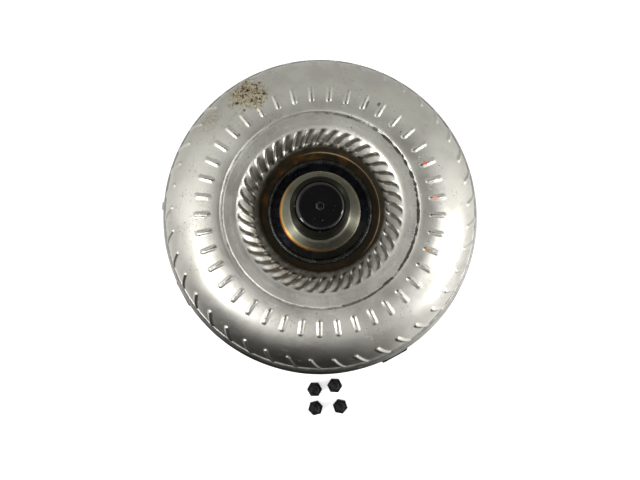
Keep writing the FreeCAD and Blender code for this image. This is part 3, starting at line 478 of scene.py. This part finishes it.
def pressed_steel(name, shell):
    """Bare pressed steel, satin, with oil stains, scuffs and specks; shell adds the impeller's marks with the
    painted shade and highlights of its well, and otherwise the cover's painted shade and rust.
    """
    s = Surface(name)
    radius, angle = s.polar()
    clouds = s.noise(34, 3)
    stains = s.noise(9, 5, 0.65, offset=3)
    grain = s.noise(0.7, 3, 0.7, offset=5)
    colour = s.mix(clouds.ramp(0.35, 0.65), STEEL_DARK, STEEL_LIGHT)
    colour = s.mix((s.y.ramp(-60, 110) * clouds.ramp(0.3, 0.6)) * 0.55, colour, STEEL_GREEN)
    colour = s.mix(stains.ramp(0.55, 0.75) * 0.35, colour, (0.30, 0.28, 0.24))
    rough = clouds * 0.12 + 0.22 + stains * 0.08 + grain * 0.06

    pits = s.noise(1.9, 3, 0.75, offset=2).ramp(0.61, 0.66) * s.noise(20, 3, offset=8).ramp(0.46, 0.6)
    colour = s.mix(pits * 0.75, colour, (0.035, 0.03, 0.025))
    scratches = s.noise(1.2, 2, 0.6, stretch=(18, 1, 1), distort=0.4, offset=11).ramp(0.7, 0.78)
    cross = s.noise(1.1, 2, 0.6, stretch=(1, 15, 1), distort=0.5, offset=14).ramp(0.71, 0.79)
    colour = s.mix((scratches + cross) * 0.3, colour, (0.72, 0.72, 0.7))

    if shell:
        colour, rough, metal = shell_marks(s, radius, angle, colour, rough)
        s.set(Specular_IOR_Level=0.25)
    else:
        colour, metal = cover_shade_and_rust(s, colour)

    worn = s.edges().ramp(0.52, 0.56) * radius.ramp(60, 66)
    colour = s.mix(worn * 0.35, colour, (0.78, 0.78, 0.76))
    s.raise_by(grain * 0.035 + s.noise(3, 3, offset=61) * 0.06 + pits * -0.12)
    return s.set(Base_Color=colour, Roughness=rough, Metallic=metal).done()


def turned_steel(name, base, tint, rough, heat=False):
    """Steel with the fine rings of a lathe tool about the Z axis."""
    s = Surface(name)
    radius, angle = s.polar()
    rings = s.ring_noise(radius + s.z, 0.35)
    broad = s.ring_noise(radius + s.z, 2.6, 3)
    stains = s.noise(8, 4, 0.6, offset=4)
    colour = s.mix(stains.ramp(0.4, 0.7), base, tint)
    colour = s.mix(rings.ramp(0.45, 0.6) * 0.25, colour, (0.2, 0.19, 0.17))
    if heat:
        # Colours run at the face's rim, from the weld's heat: straw, orange, then dark blue outside.
        hot = s.teeth(angle + 148, 360).ramp(0.5, 0.22) * 0.92 + 0.08
        colour = s.mix(radius.ramp(33.0, 35.2) * hot * 0.7, colour, (0.75, 0.55, 0.13))
        colour = s.mix(radius.ramp(35.0, 35.8) * hot, colour, (0.42, 0.13, 0.03))
        step = radius.ramp(36.2, 36.9)
        dark = s.mix(s.noise(6, 4, offset=9).ramp(0.4, 0.65), (0.006, 0.007, 0.008), (0.013, 0.016, 0.022))
        colour = s.mix(step, colour, dark)
        # Painted shade: the face darkened in patches to the south, behind the tube.
        painted_south_shade = (angle + 72).abs().ramp(62, 30) * radius.ramp(27, 30)
        painted_south_shade = painted_south_shade * s.noise(12, 3, offset=12).ramp(0.2, 0.5)
        colour = s.mix(painted_south_shade * 0.6, colour, (0.045, 0.042, 0.03))
        # Painted shade: the tube above the face is painted nearly black for the dark surroundings it
        # reflects.
        colour = s.mix(s.z.ramp(106.4, 108.5) * 0.95, colour, (0.012, 0.012, 0.009))
        scuffs = s.noise(1.6, 3, 0.7, offset=15).ramp(0.68, 0.76) * step
        colour = s.mix(scuffs * 0.6, colour, (0.45, 0.47, 0.5))
    worn = s.edges().ramp(0.53, 0.6)
    colour = s.mix(worn * 0.5, colour, (0.75, 0.74, 0.7))
    s.raise_by(rings * 0.02 + s.noise(0.5, 2, offset=3) * 0.006)
    s.set(Base_Color=colour, Metallic=1.0, Roughness=broad * 0.12 + rough + stains * 0.06)
    return s.turned(0.97 if heat else 0.9, 0.25).done()


def weld_metal(name, dark, light, fleck, rougher=0.0):
    """Rippled weld bead, oxidised, with bright flecks where it has rubbed."""
    s = Surface(name)
    patches = s.noise(7, 4, 0.6)
    flecks = s.noise(1.5, 4, 0.75, offset=6).ramp(0.58, 0.66) * s.noise(13, 2, offset=8).ramp(0.4, 0.6)
    worn = s.edges().ramp(0.56, 0.64)
    colour = s.mix(patches.ramp(0.35, 0.65), dark, light)
    colour = s.mix((flecks * 0.4 + worn * 0.3).min(1), colour, fleck)
    s.raise_by(s.noise(0.8, 3, offset=2) * 0.05)
    return s.set(Base_Color=colour, Metallic=0.9, Roughness=patches * 0.25 + 0.17 + rougher).done()


def blackened(name, base, wear, rough, grain=0.8):
    """Black oxide or phosphate on steel, rubbed through to grey at the edges."""
    s = Surface(name)
    cloudy = s.noise(5, 4)
    fine = s.noise(grain, 3, 0.7, offset=3)
    colour = s.mix(cloudy.ramp(0.4, 0.7), base, tuple(c * 2.2 + 0.01 for c in base))
    worn = (s.edges().ramp(0.52, 0.6) * fine.ramp(0.35, 0.6)).min(1)
    colour = s.mix(worn * 0.6, colour, wear)
    s.raise_by(fine * 0.05)
    return s.set(Base_Color=colour, Metallic=0.75, Roughness=cloudy * 0.25 + rough).done()


def gloss_plastic(name):
    """Glossy black moulded plastic with faint wipe marks and dust."""
    s = Surface(name)
    smears = s.noise(11, 4, 0.6, stretch=(2.5, 1, 1), offset=2)
    dust = s.specks(2.6, offset=5).ramp(0.16, 0.08) * s.noise(9, 2, offset=7).ramp(0.5, 0.65)
    colour = s.mix(smears.ramp(0.4, 0.75), (0.001, 0.001, 0.001), (0.003, 0.003, 0.003))
    colour = s.mix(dust * 0.35, colour, (0.3, 0.3, 0.3))
    s.raise_by(s.noise(7, 2, offset=9) * 0.05 + s.noise(0.9, 2, offset=12) * 0.004)
    return s.set(Base_Color=colour, Roughness=smears * 0.08 + 0.03 + dust * 0.3, IOR=1.5).done()


def oiled_sheet(name, base, tint, rough=0.3):
    """Thin stamped steel inside, filmed with amber oil."""
    s = Surface(name)
    film = s.noise(13, 4, 0.6)
    rub = s.noise(1.6, 3, 0.65, stretch=(7, 1, 1), offset=5)
    colour = s.mix(film.ramp(0.35, 0.7), base, tint)
    colour = s.mix(rub.ramp(0.62, 0.72) * 0.35, colour, (0.7, 0.69, 0.66))
    worn = s.edges().ramp(0.53, 0.6)
    colour = s.mix(worn * 0.4, colour, (0.7, 0.68, 0.62))
    s.raise_by(s.noise(1.1, 3, offset=8) * 0.03)
    return s.set(Base_Color=colour, Metallic=0.95, Roughness=film * 0.2 + rough,
                 Coat_Weight=0.25, Coat_Roughness=0.12).done()


def polished(name, base, tint):
    """Hardened, ground bearing steel."""
    s = Surface(name)
    marks = s.noise(4, 4)
    lines = s.noise(0.4, 2, stretch=(1, 1, 9), offset=4)
    colour = s.mix(marks.ramp(0.4, 0.7), base, tint)
    s.raise_by(lines * 0.008)
    return s.set(Base_Color=colour, Metallic=1.0, Roughness=marks * 0.12 + lines * 0.05 + 0.08).done()


def cast_metal(name):
    """Cast aluminium: fine sandy skin, with painted shade darkening the hollows."""
    s = Surface(name)
    skin_noise = s.noise(1.3, 4, 0.7)
    clouds = s.noise(18, 3, offset=4)
    colour = s.mix(clouds.ramp(0.35, 0.7), (0.55, 0.55, 0.54), (0.70, 0.70, 0.69))
    # Painted shade: darker where the surface is hollow.
    colour = s.mix(s.edges().ramp(0.5, 0.44) * 0.6, colour, (0.22, 0.21, 0.19))
    s.raise_by(skin_noise * 0.16)
    return s.set(Base_Color=colour, Metallic=0.95, Roughness=skin_noise * 0.2 + 0.34).done()


def friction_paper(name):
    """Brown porous friction paper."""
    s = Surface(name)
    fibre = s.noise(0.7, 5, 0.8, stretch=(3, 1, 1), offset=1)
    blotch = s.noise(9, 3, offset=6)
    colour = s.mix(fibre.ramp(0.35, 0.7), (0.10, 0.06, 0.035), (0.30, 0.20, 0.12))
    colour = s.mix(blotch.ramp(0.5, 0.7) * 0.4, colour, (0.06, 0.04, 0.03))
    s.raise_by(fibre * 0.12)
    return s.set(Base_Color=colour, Roughness=fibre * 0.2 + 0.7).done()


def seal_polymer(name):
    s = Surface(name)
    mottle = s.noise(3, 4)
    colour = s.mix(mottle.ramp(0.35, 0.7), (0.12, 0.085, 0.05), (0.20, 0.15, 0.09))
    s.raise_by(s.noise(0.6, 3, offset=3) * 0.03)
    return s.set(Base_Color=colour, Roughness=mottle * 0.2 + 0.4).done()


# ---------------------------------------------------------------- welded housing


def shell_outline():
    """The impeller shell's outer surface from the rim to the hole, as (radius, height)."""
    crown_r, crown_half, shoulder, crown_rise = 95, 47, 80, 36.9
    outline = [(142, 66), (142, 80)]
    outline += [(crown_r + crown_half * math.cos(a), shoulder + crown_rise * math.sin(a))
                for a in np.linspace(0.03, TAU / 4, 60)]
    # The groove and the flat ring inside it.
    outline += [(92, 116.85), (89.6, 116.65), (88.8, 116.3), (88.2, 115.65), (87.0, 115.45), (86.3, 115.75)]
    outline += [(82, 115.5), (79.5, 115.3), (77, 115.1), (75, 114.8), (73.2, 114.1)]
    # The ribbed slope, the floor of the well and the edge under the weld.
    outline += [(71.4, 112.9), (69.4, 111.2), (67, 108.8), (64.4, 106.2), (62.2, 104.3), (60.2, 103.1)]
    outline += [(57.8, 102.4), (55.2, 102.0), (54.3, 101.8), (53.7, 100.8), (53.2, 100.4), (44.9, 100.2)]
    return np.array(outline, float)


def resample(outline, step):
    """Evenly spaced points along an open outline, and how far along each one is."""
    length = np.concatenate([[0], np.cumsum(np.linalg.norm(np.diff(outline, axis=0), axis=1))])
    count = int(length[-1] / step)
    at = np.linspace(0, length[-1], count)
    return np.stack([np.interp(at, length, outline[:, k]) for k in (0, 1)], axis=1), at


def hexagon(half_flats, angle, turned_by):
    """The radius at each angle of a hexagon turned by this many degrees."""
    return half_flats / np.cos((angle - math.radians(turned_by)) % (TAU / 6) - TAU / 12)


def mound(along, across, half_length, half_width, height):
    """A raised, round-ended tab with a domed top and a crisp foot."""
    beyond = np.maximum(np.abs(along) - (half_length - half_width), 0)
    return height * np.clip(1 - (beyond**2 + across**2) / half_width**2, 0, 1) ** 0.8


def impeller_shell():
    outline, at = resample(shell_outline(), 0.72)
    radius, level = outline[:, 0], outline[:, 1]
    slope = np.gradient(outline, axis=0)
    slope /= np.linalg.norm(slope, axis=1)[:, None]
    normal = np.stack([slope[:, 1], -slope[:, 0]], axis=1)
    steps = TABS * 26
    angle = np.linspace(0, TAU, steps, endpoint=False)
    lift = np.zeros((len(outline), steps))

    def row(centre_radius, centre_angle, slant):
        """How far each point is along and across the nearest tab of a row."""
        inwards = (at - at[np.argmin(np.abs(radius - centre_radius))])[:, None]
        tilt = math.radians(slant)
        turned_by = math.radians(centre_angle) + inwards * math.tan(tilt) / radius[:, None]
        around = ((angle[None, :] - turned_by + PITCH / 2) % PITCH - PITCH / 2) * radius[:, None]
        return inwards / math.cos(tilt) + around * math.sin(tilt), around * math.cos(tilt)

    along, across = row(105, MIDDLE_TAB, 0)
    lift += mound(along, across, 7.9, 2.5, 0.85)
    along, across = row(138.8, MIDDLE_TAB - 1.6, -27)
    lift += mound(along, across, 12.0, 2.2, 1.25) * smooth(138, 100, level)[:, None]

    # Ribs like a saw's teeth: each drops steeply on its clockwise side and climbs gently to the next.
    leads = math.radians(MIDDLE_TAB + RIB_LEAD) + math.radians(RIB_TURN) * (RIB_MIDDLE - radius[:, None])
    tooth = ((leads - angle[None, :]) / PITCH) % 1
    saw = 1 - smooth(0.0, 0.3, tooth) + smooth(0.36, 1.0, tooth)
    lift += (saw - 0.5) * (2.1 * smooth(59.4, 62.6, radius) * (1 - smooth(68.5, 74.5, radius)))[:, None]
    fade = smooth(55.5, 59.0, radius)[:, None]
    lift *= fade

    outer = turn(outline, steps)
    flat = smooth(50, 60, radius)[:, None]
    lift += waves(outer, 46, 5) * 0.10 * flat + waves(outer, 13, 6) * 0.022 * flat
    outer[..., 0] += lift * normal[:, 0:1] * np.cos(angle)
    outer[..., 1] += lift * normal[:, 0:1] * np.sin(angle)
    outer[..., 2] += lift * normal[:, 1:2]

    inside, _ = resample(np.array([
        (44.9, 97.9), (54, 97.9), (59.8, 99.1), (66.3, 102.2), (73.1, 110), (77.2, 112), (105, 114),
        *arc((105, 80), 34, 90, 0, 24)[1:], (139, 66)]), 2.0)
    points = np.concatenate([outer, turn(inside, steps)])
    shell = skin("impeller_shell_skin", points, True, 50)
    return place(shell, "housing", pressed_steel("impeller_steel", True), "pressed_steel", "impeller_shell")


def front_cover():
    outline = [(24.5, 11), (60, 11), (70, 20), (138, 20)]
    outline += arc((138, 32), 12, -90, 0, 14)[1:]
    outline += [(150, 47), (148.2, 51.5), (146.2, 55.5), (146, 58), (146, 72)]
    outline += [(142.1, 72), (142.1, 53), (145.5, 46), (145.5, 32)]
    outline += arc((138, 32), 7.5, 0, -90, 8)[1:]
    outline += [(69, 24.5), (59.5, 15.5), (24.5, 15.5)]
    rounded = divide(soften(outline, 0.9, steps=4), 3.0)
    points = turn(rounded, 720)
    outward = points[..., :2] / np.linalg.norm(points[..., :2], axis=-1, keepdims=True)
    outer = (rounded[:, 0] > 147)[:, None]
    points[..., :2] -= outward * (np.abs(waves(points, 60, 9)) * 0.10 * outer)[..., None]
    cover = skin("front_cover_skin", points, True, 50)
    return place(cover, "housing", pressed_steel("cover_steel", False), "pressed_steel", "front_cover")


def weld_ring(name, outline, steps, ripple, pitch, seed, start=0):
    """A bead round the Z axis: an outline in mm whose outer points swell with each ripple."""
    points = turn(np.array(outline, float), steps)
    angle = np.linspace(0, TAU, steps, endpoint=False)
    middle = np.array(outline, float).mean(axis=0)
    bend = waves(points, 9, seed) * 0.6 + waves(points, 40, seed + 1) * 0.5
    for k, (radius, level) in enumerate(outline):
        if k < start:
            continue
        phase = angle * middle[0] / pitch * TAU + 1.5 * np.sin(k)
        swell = ripple * (np.abs(np.sin(phase / 2)) - 0.6 + bend[k] * 0.7)
        out = np.array([radius, level]) - middle
        out /= np.linalg.norm(out)
        points[k, :, 0] += swell * out[0] * np.cos(angle)
        points[k, :, 1] += swell * out[0] * np.sin(angle)
        points[k, :, 2] += swell * out[1]
    return skin(name, points, True, 60)


def seam_weld():
    outline = [(142.1, 71.0), (145.8, 71.2)]
    outline += arc((142.1, 72.3), 3.3, 2, 88, 9)
    bead = weld_ring("seam_weld_bead", outline, 1800, 0.09, 2.6, 21, start=2)
    material = weld_metal("seam_bead_steel", (0.21, 0.205, 0.19), (0.30, 0.295, 0.27),
                          (0.6, 0.58, 0.54), 0.05)
    return place(bead, "housing", material, "weld_steel", "seam_weld")


def pump_hub():
    outline = soften([
        (21.5, 95), (41.6, 95), (44.6, 97), (44.6, 102), (36.2, 102), (36.2, 106), (27.2, 106), (26, 107.8),
        (26, 153), (21.5, 153)], [0.4, 0.5, 0.5, 0.9, 0.8, 0.7, 1.0, 2.0, 1.5, 0.9], steps=6)
    hub = skin("pump_hub_turned", turn(divide(outline, 3.0), 384), True, 40)
    material = turned_steel("pump_hub_steel", (0.29, 0.285, 0.225), (0.23, 0.225, 0.17), 0.33, heat=True)
    return place(hub, "housing", material, "machined_steel", "pump_hub")


def hub_weld():
    outline = [(42.3, 101.9), (44.75, 101.9), (44.75, 100.1), (47.8, 100.1)]
    outline += arc((44.9, 100.2), 2.9, 0, 142, 12)
    bead = weld_ring("hub_weld_bead", outline, 900, 0.13, 2.4, 31, start=4)
    material = weld_metal("hub_bead_steel", (0.012, 0.012, 0.011), (0.03, 0.032, 0.03),
                          (0.3, 0.31, 0.31), -0.03)
    return place(bead, "housing", material, "weld_steel", "hub_weld")


def pilot_hub():
    outline = soften([(0.01, 0), (18, 0), (18, 7), (30, 7), (30, 11), (24.4, 11), (24.4, 15.5), (0.01, 15.5)],
                     [0, 1.5, 0.6, 1.5, 0.4, 0.3, 0.6, 0], steps=5)
    pilot = skin("pilot_hub_turned", turn(divide(outline, 3.0), 256), False, 40)
    material = turned_steel("pilot_steel", (0.58, 0.57, 0.53), (0.45, 0.43, 0.38), 0.24)
    return place(pilot, "housing", material, "machined_steel", "pilot_hub")


def ring_plan(x_half, y_half, corner, steps):
    """A rounded rectangle about the origin, as points at even angles of its outline."""
    points = []
    for x, y, start in ((1, 1, 0), (-1, 1, 90), (-1, -1, 180), (1, -1, 270)):
        points += arc((x * (x_half - corner), y * (y_half - corner)), corner, start, start + 90, 7)
    dense, _ = resample(np.array([*points, points[0]]), 0.05)
    return dense[np.linspace(0, len(dense) - 1, steps, endpoint=False).astype(int)]


def drive_lugs():
    """Four blocks with rounded corners and a bolt hole through each."""
    steps = 96
    vertices, faces = [], []
    centre = (LUG_IN + LUG_OUT) / 2
    half = (LUG_OUT - LUG_IN) / 2
    hole_at = LUG_BOLT_CIRCLE - centre
    levels = [(0.8, 8.0), (0.25, 8.2), (0, 8.8), (0, 14), (0, 19.2), (0.2, 19.8), (0.6, 20.0)]
    rings = []
    for inset, level in levels:
        plan = ring_plan(half - inset, LUG_HALF_WIDTH - inset, 2 - inset * 0.5, steps)
        rings.append(np.column_stack([plan, np.full(steps, level)]))
    start = np.arctan2(rings[0][:, 1], rings[0][:, 0] - hole_at)
    for grow, level in [(0.7, 20.0), (0.2, 19.8), (0, 19.3), (0, 14), (0, 8.7), (0.2, 8.2), (0.7, 8.0)]:
        radius = LUG_HOLE_R + grow
        rings.append(np.column_stack([hole_at + radius * np.cos(start), radius * np.sin(start),
                                      np.full(steps, level)]))
    local = np.array(rings)
    local[..., 0] += centre
    block = local.reshape(-1, 3)
    for k in range(4):
        angle = math.radians(LUG_ANGLE + 90 * k)
        base = len(vertices)
        c, sn = math.cos(angle), math.sin(angle)
        for x, y, z in block:
            vertices.append(((x * c - y * sn) * MM, (x * sn + y * c) * MM, z * MM))
        for a in range(len(rings)):
            b = (a + 1) % len(rings)
            for i in range(steps):
                j = (i + 1) % steps
                faces.append((base + a * steps + i, base + a * steps + j, base + b * steps + j,
                              base + b * steps + i))
    lugs = mesh_object("drive_lug_blocks", vertices, faces, 40)
    material = blackened("lug_black", (0.002, 0.002, 0.0022), (0.05, 0.05, 0.05), 0.5)
    return place(lugs, "housing", material, "black_steel", "drive_lugs")


def hub_plug():
    """A hollow cap pressed into the hub's mouth, with a small hexagonal nub on top."""
    top = PLUG_TOP
    corners = [(0.01, top - 2), (19.3, top - 2), (19.3, 140), (20.6, 140), (21.3, 142), (21.3, top),
               (0.01, top)]
    outline = soften(corners, [0, 1, 0.5, 0.6, 1, 3.4, 0], steps=9)
    plug = skin("transit_plug_cap", turn(divide(outline, 2.5), 288), False, 50)
    levels = [(0.0, -0.4), (0.0, 1.0), (0.18, 1.45), (0.55, 1.7), (1.1, 1.8)]
    steps = 96
    angle = np.linspace(0, TAU, steps, endpoint=False)
    rings = []
    for inset, level in levels:
        radius = hexagon(3.6, angle, -30) - inset
        rings.append(np.column_stack([radius * np.cos(angle), radius * np.sin(angle),
                                      np.full(steps, top + level)]))
    nub = skin("transit_plug_nub", np.array(rings), False, 30)
    material = gloss_plastic("plug_plastic")
    place(plug, "transit_plug", material, "black_plastic", "hub_plug")
    place(nub, "transit_plug", material, "black_plastic")


# ---------------------------------------------------------------- loose bolts


def bolt(number, turned_by, material, low, high):
    """A hexagon bolt standing on its head: chamfered head, washer face, threaded shank."""
    steps = 144
    angle = np.linspace(0, TAU, steps, endpoint=False)
    flats = hexagon(6.5, angle, turned_by)
    x, y = (low.x + high.x) / 2 * 1000, (low.y + high.y) / 2 * 1000
    top = high.z * 1000
    head = 5.3
    rings = [(np.full(steps, 5.4), 0.0), (np.full(steps, 6.0), 0.0)]
    for level in np.linspace(0, 0.9, 5):
        rings.append((np.minimum(flats, 6.25 + level * 1.75), level))
    rings.append((flats, 2.6))
    for level in np.linspace(0, 0.5, 4):
        rings.append((np.minimum(flats, 6.4 + (0.5 - level) * 2.2), head - 0.75 + level))
    rings += [(np.full(steps, 5.9), head - 0.22), (np.full(steps, 5.8), head), (np.full(steps, 4.3), head),
              (np.full(steps, 3.9), head + 0.35)]
    pitch, depth = 1.25, 0.62
    for level in np.arange(head + 0.5, top, 0.125):
        phase = (level / pitch - angle / TAU) % 1
        ridge = np.abs(phase - 0.5) * 2
        cut_in = smooth(head + 1.2, head + 3.0, level)
        radius = 3.95 - depth * np.clip(ridge * 1.25 - 0.12, 0, 1) * cut_in
        rings.append((np.minimum(radius, 2.75 + (top - level) * 0.9), level))
    rings += [(np.full(steps, 2.72), top), (np.full(steps, 1.4), top)]
    points = np.zeros((len(rings), steps, 3))
    for k, (radius, level) in enumerate(rings):
        points[k, :, 0] = x + radius * np.cos(angle)
        points[k, :, 1] = y + radius * np.sin(angle)
        points[k, :, 2] = level
    made = skin(f"bolt_{number}_threaded", points, False, 32)
    return place(made, f"bolt_{number}", material, "black_bolt", f"flexplate_bolt_{number}")


def loose_bolts():
    material = blackened("bolt_black_oxide", (0.006, 0.006, 0.007), (0.16, 0.16, 0.16), 0.3, 0.5)
    for number, turned_by in enumerate(BOLT_TURNS, 1):
        bolt(number, turned_by, material, *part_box(f"flexplate_bolt_{number}"))


# ---------------------------------------------------------------- what is inside, from the CAD


def repaint(material, *names):
    """Gives carried-over CAD nodes a material of their own; their meshes stay as they are."""
    for name in names:
        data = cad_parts[name].data
        data.materials.clear()
        data.materials.append(material)
        data.polygons.foreach_set("material_index", [0] * len(data.polygons))


def paint_inside():
    sheet_steel = oiled_sheet("oiled_sheet_steel", (0.40, 0.37, 0.30), (0.52, 0.50, 0.44))
    blades = oiled_sheet("oiled_blade_steel", (0.34, 0.29, 0.21), (0.47, 0.43, 0.35), 0.26)
    machined = turned_steel("inner_machined_steel", (0.56, 0.55, 0.51), (0.45, 0.43, 0.38), 0.22)
    bearing = polished("bearing_steel", (0.62, 0.62, 0.62), (0.50, 0.49, 0.47))
    cage = polished("cage_brass", (0.62, 0.42, 0.16), (0.48, 0.31, 0.10))
    spring = blackened("spring_wire", (0.10, 0.095, 0.09), (0.5, 0.49, 0.46), 0.22, 0.6)
    repaint(sheet_steel, "impeller_core_ring", "turbine_shell", "turbine_core_ring", "damper_driven_ring",
            "damper_plate", "lockup_piston")
    repaint(blades, "impeller_blades", "turbine_blades")
    repaint(machined, "turbine_hub", "turbine_rivets", "clutch_outer_race", "clutch_inner_race",
            "clutch_end_plate")
    repaint(spring, "damper_springs", "roller_springs", "snap_ring")
    repaint(cast_metal("stator_casting"), "stator_wheel")
    repaint(friction_paper("lining_paper"), "friction_lining")
    repaint(seal_polymer("seal_ring_polymer"), "piston_seal")
    repaint(bearing, "clutch_rollers")
    for end in ("cover", "turbine", "impeller"):
        for part in ("lower_race", "upper_race", "needles"):
            repaint(bearing, f"{end}_bearing_{part}")
        repaint(cage, f"{end}_bearing_cage")


# ---------------------------------------------------------------- floor, light, camera


def floor():
    """A pale floor just under the object, which glows a little so that the camera sees it white."""
    half, level = 3.0, -0.0002
    corners = [(x * half, y * half, level) for x, y in ((-1, -1), (1, -1), (1, 1), (-1, 1))]
    made = mesh_object("floor", corners, [(0, 1, 2, 3)])
    material = bpy.data.materials.new("floor_white")
    material.use_nodes = True
    tree = material.node_tree
    shader = tree.nodes["Principled BSDF"]
    shader.inputs["Base Color"].default_value = (0.8, 0.8, 0.8, 1)
    shader.inputs["Roughness"].default_value = 0.7
    shader.inputs["Specular IOR Level"].default_value = 0.1
    shader.inputs["Emission Color"].default_value = (1, 1, 1, 1)
    seen = tree.nodes.new("ShaderNodeLightPath").outputs["Is Camera Ray"]
    tree.links.new((Wire(tree, seen) * 0.55).socket, shader.inputs["Emission Strength"])
    made.visible_glossy = False
    made.data.materials.append(material)


def softbox(name, azimuth, elevation, distance, size, power):
    """A soft lamp aimed at the object, from a bearing and a height in degrees."""
    light = bpy.data.lights.new(name, "AREA")
    light.shape = "RECTANGLE"
    light.size, light.size_y = size
    light.energy = power
    made = bpy.data.objects.new(name, light)
    a, e = math.radians(azimuth), math.radians(elevation)
    way = Vector((math.cos(a) * math.cos(e), math.sin(a) * math.cos(e), math.sin(e)))
    made.location = way * distance
    made.rotation_mode = "QUATERNION"
    made.rotation_quaternion = way.to_track_quat("Z", "Y")
    bpy.context.scene.collection.objects.link(made)


def studio():
    """A pale room, brightest to the east and west, dark to the south and in a patch overhead."""
    world = bpy.data.worlds.new("studio")
    bpy.context.scene.world = world
    world.use_nodes = True
    tree = world.node_tree
    back = tree.nodes["Background"]
    coords = tree.nodes.new("ShaderNodeTexCoord").outputs["Generated"]
    split = tree.nodes.new("ShaderNodeSeparateXYZ")
    tree.links.new(coords, split.inputs[0])
    x, y, z = (Wire(tree, split.outputs[k]) for k in range(3))
    across = (x * x + y * y).root().max(0.001)

    def toward(azimuth, low, high):
        """1 where a direction's bearing is near the azimuth."""
        a = math.radians(azimuth)
        return ((x * math.cos(a) + y * math.sin(a)) / across).ramp(low, high)

    east = toward(-14, 0.55, 0.97) * z.ramp(0.98, 0.5) * (z.ramp(0, -0.8) * -0.4 + 1)
    west = toward(202, 0.4, 0.9) * z.ramp(0.9995, 0.98) * (z.ramp(0.7, -0.2) * -0.65 + 1)
    south = toward(256, 0.5, 0.9) * z.ramp(0.975, 0.4)
    overhead = oval(x - 0.17, y - 0.09).ramp(0.40, 0.2) * z.ramp(0, 0.5)
    room = (east * 0.85 + west * 1.0 + 0.68) * (south * -0.97 + 1)
    level = room * (overhead * -0.82 + 1)
    tree.links.new(level.max(0.012).socket, back.inputs["Strength"])
    back.inputs["Color"].default_value = (1.0, 0.995, 0.975, 1)
    softbox("softbox_west", 210, 50, 2.2, (0.3, 0.62), 14)
    softbox("softbox_east", -18, 22, 2.2, (0.9, 0.6), 13)
    softbox("softbox_east_high", -8, 50, 2.2, (0.22, 0.4), 7)


def camera():
    data = bpy.data.cameras.new("camera")
    data.sensor_width = 36
    data.lens = 59.06
    data.clip_end = 20
    made = bpy.data.objects.new("camera", data)
    made.location = (0, -0.083, 1.047)
    made.rotation_euler = (math.radians(3.47), 0, 0)
    bpy.context.scene.collection.objects.link(made)
    bpy.context.scene.camera = made


bpy.context.scene.view_settings.view_transform = "Standard"
front_cover()
pilot_hub()
drive_lugs()
seam_weld()
impeller_shell()
pump_hub()
hub_weld()
hub_plug()
repaint(pressed_steel("weight_steel", False), "balance_weight")
loose_bolts()
paint_inside()
floor()
studio()
camera()
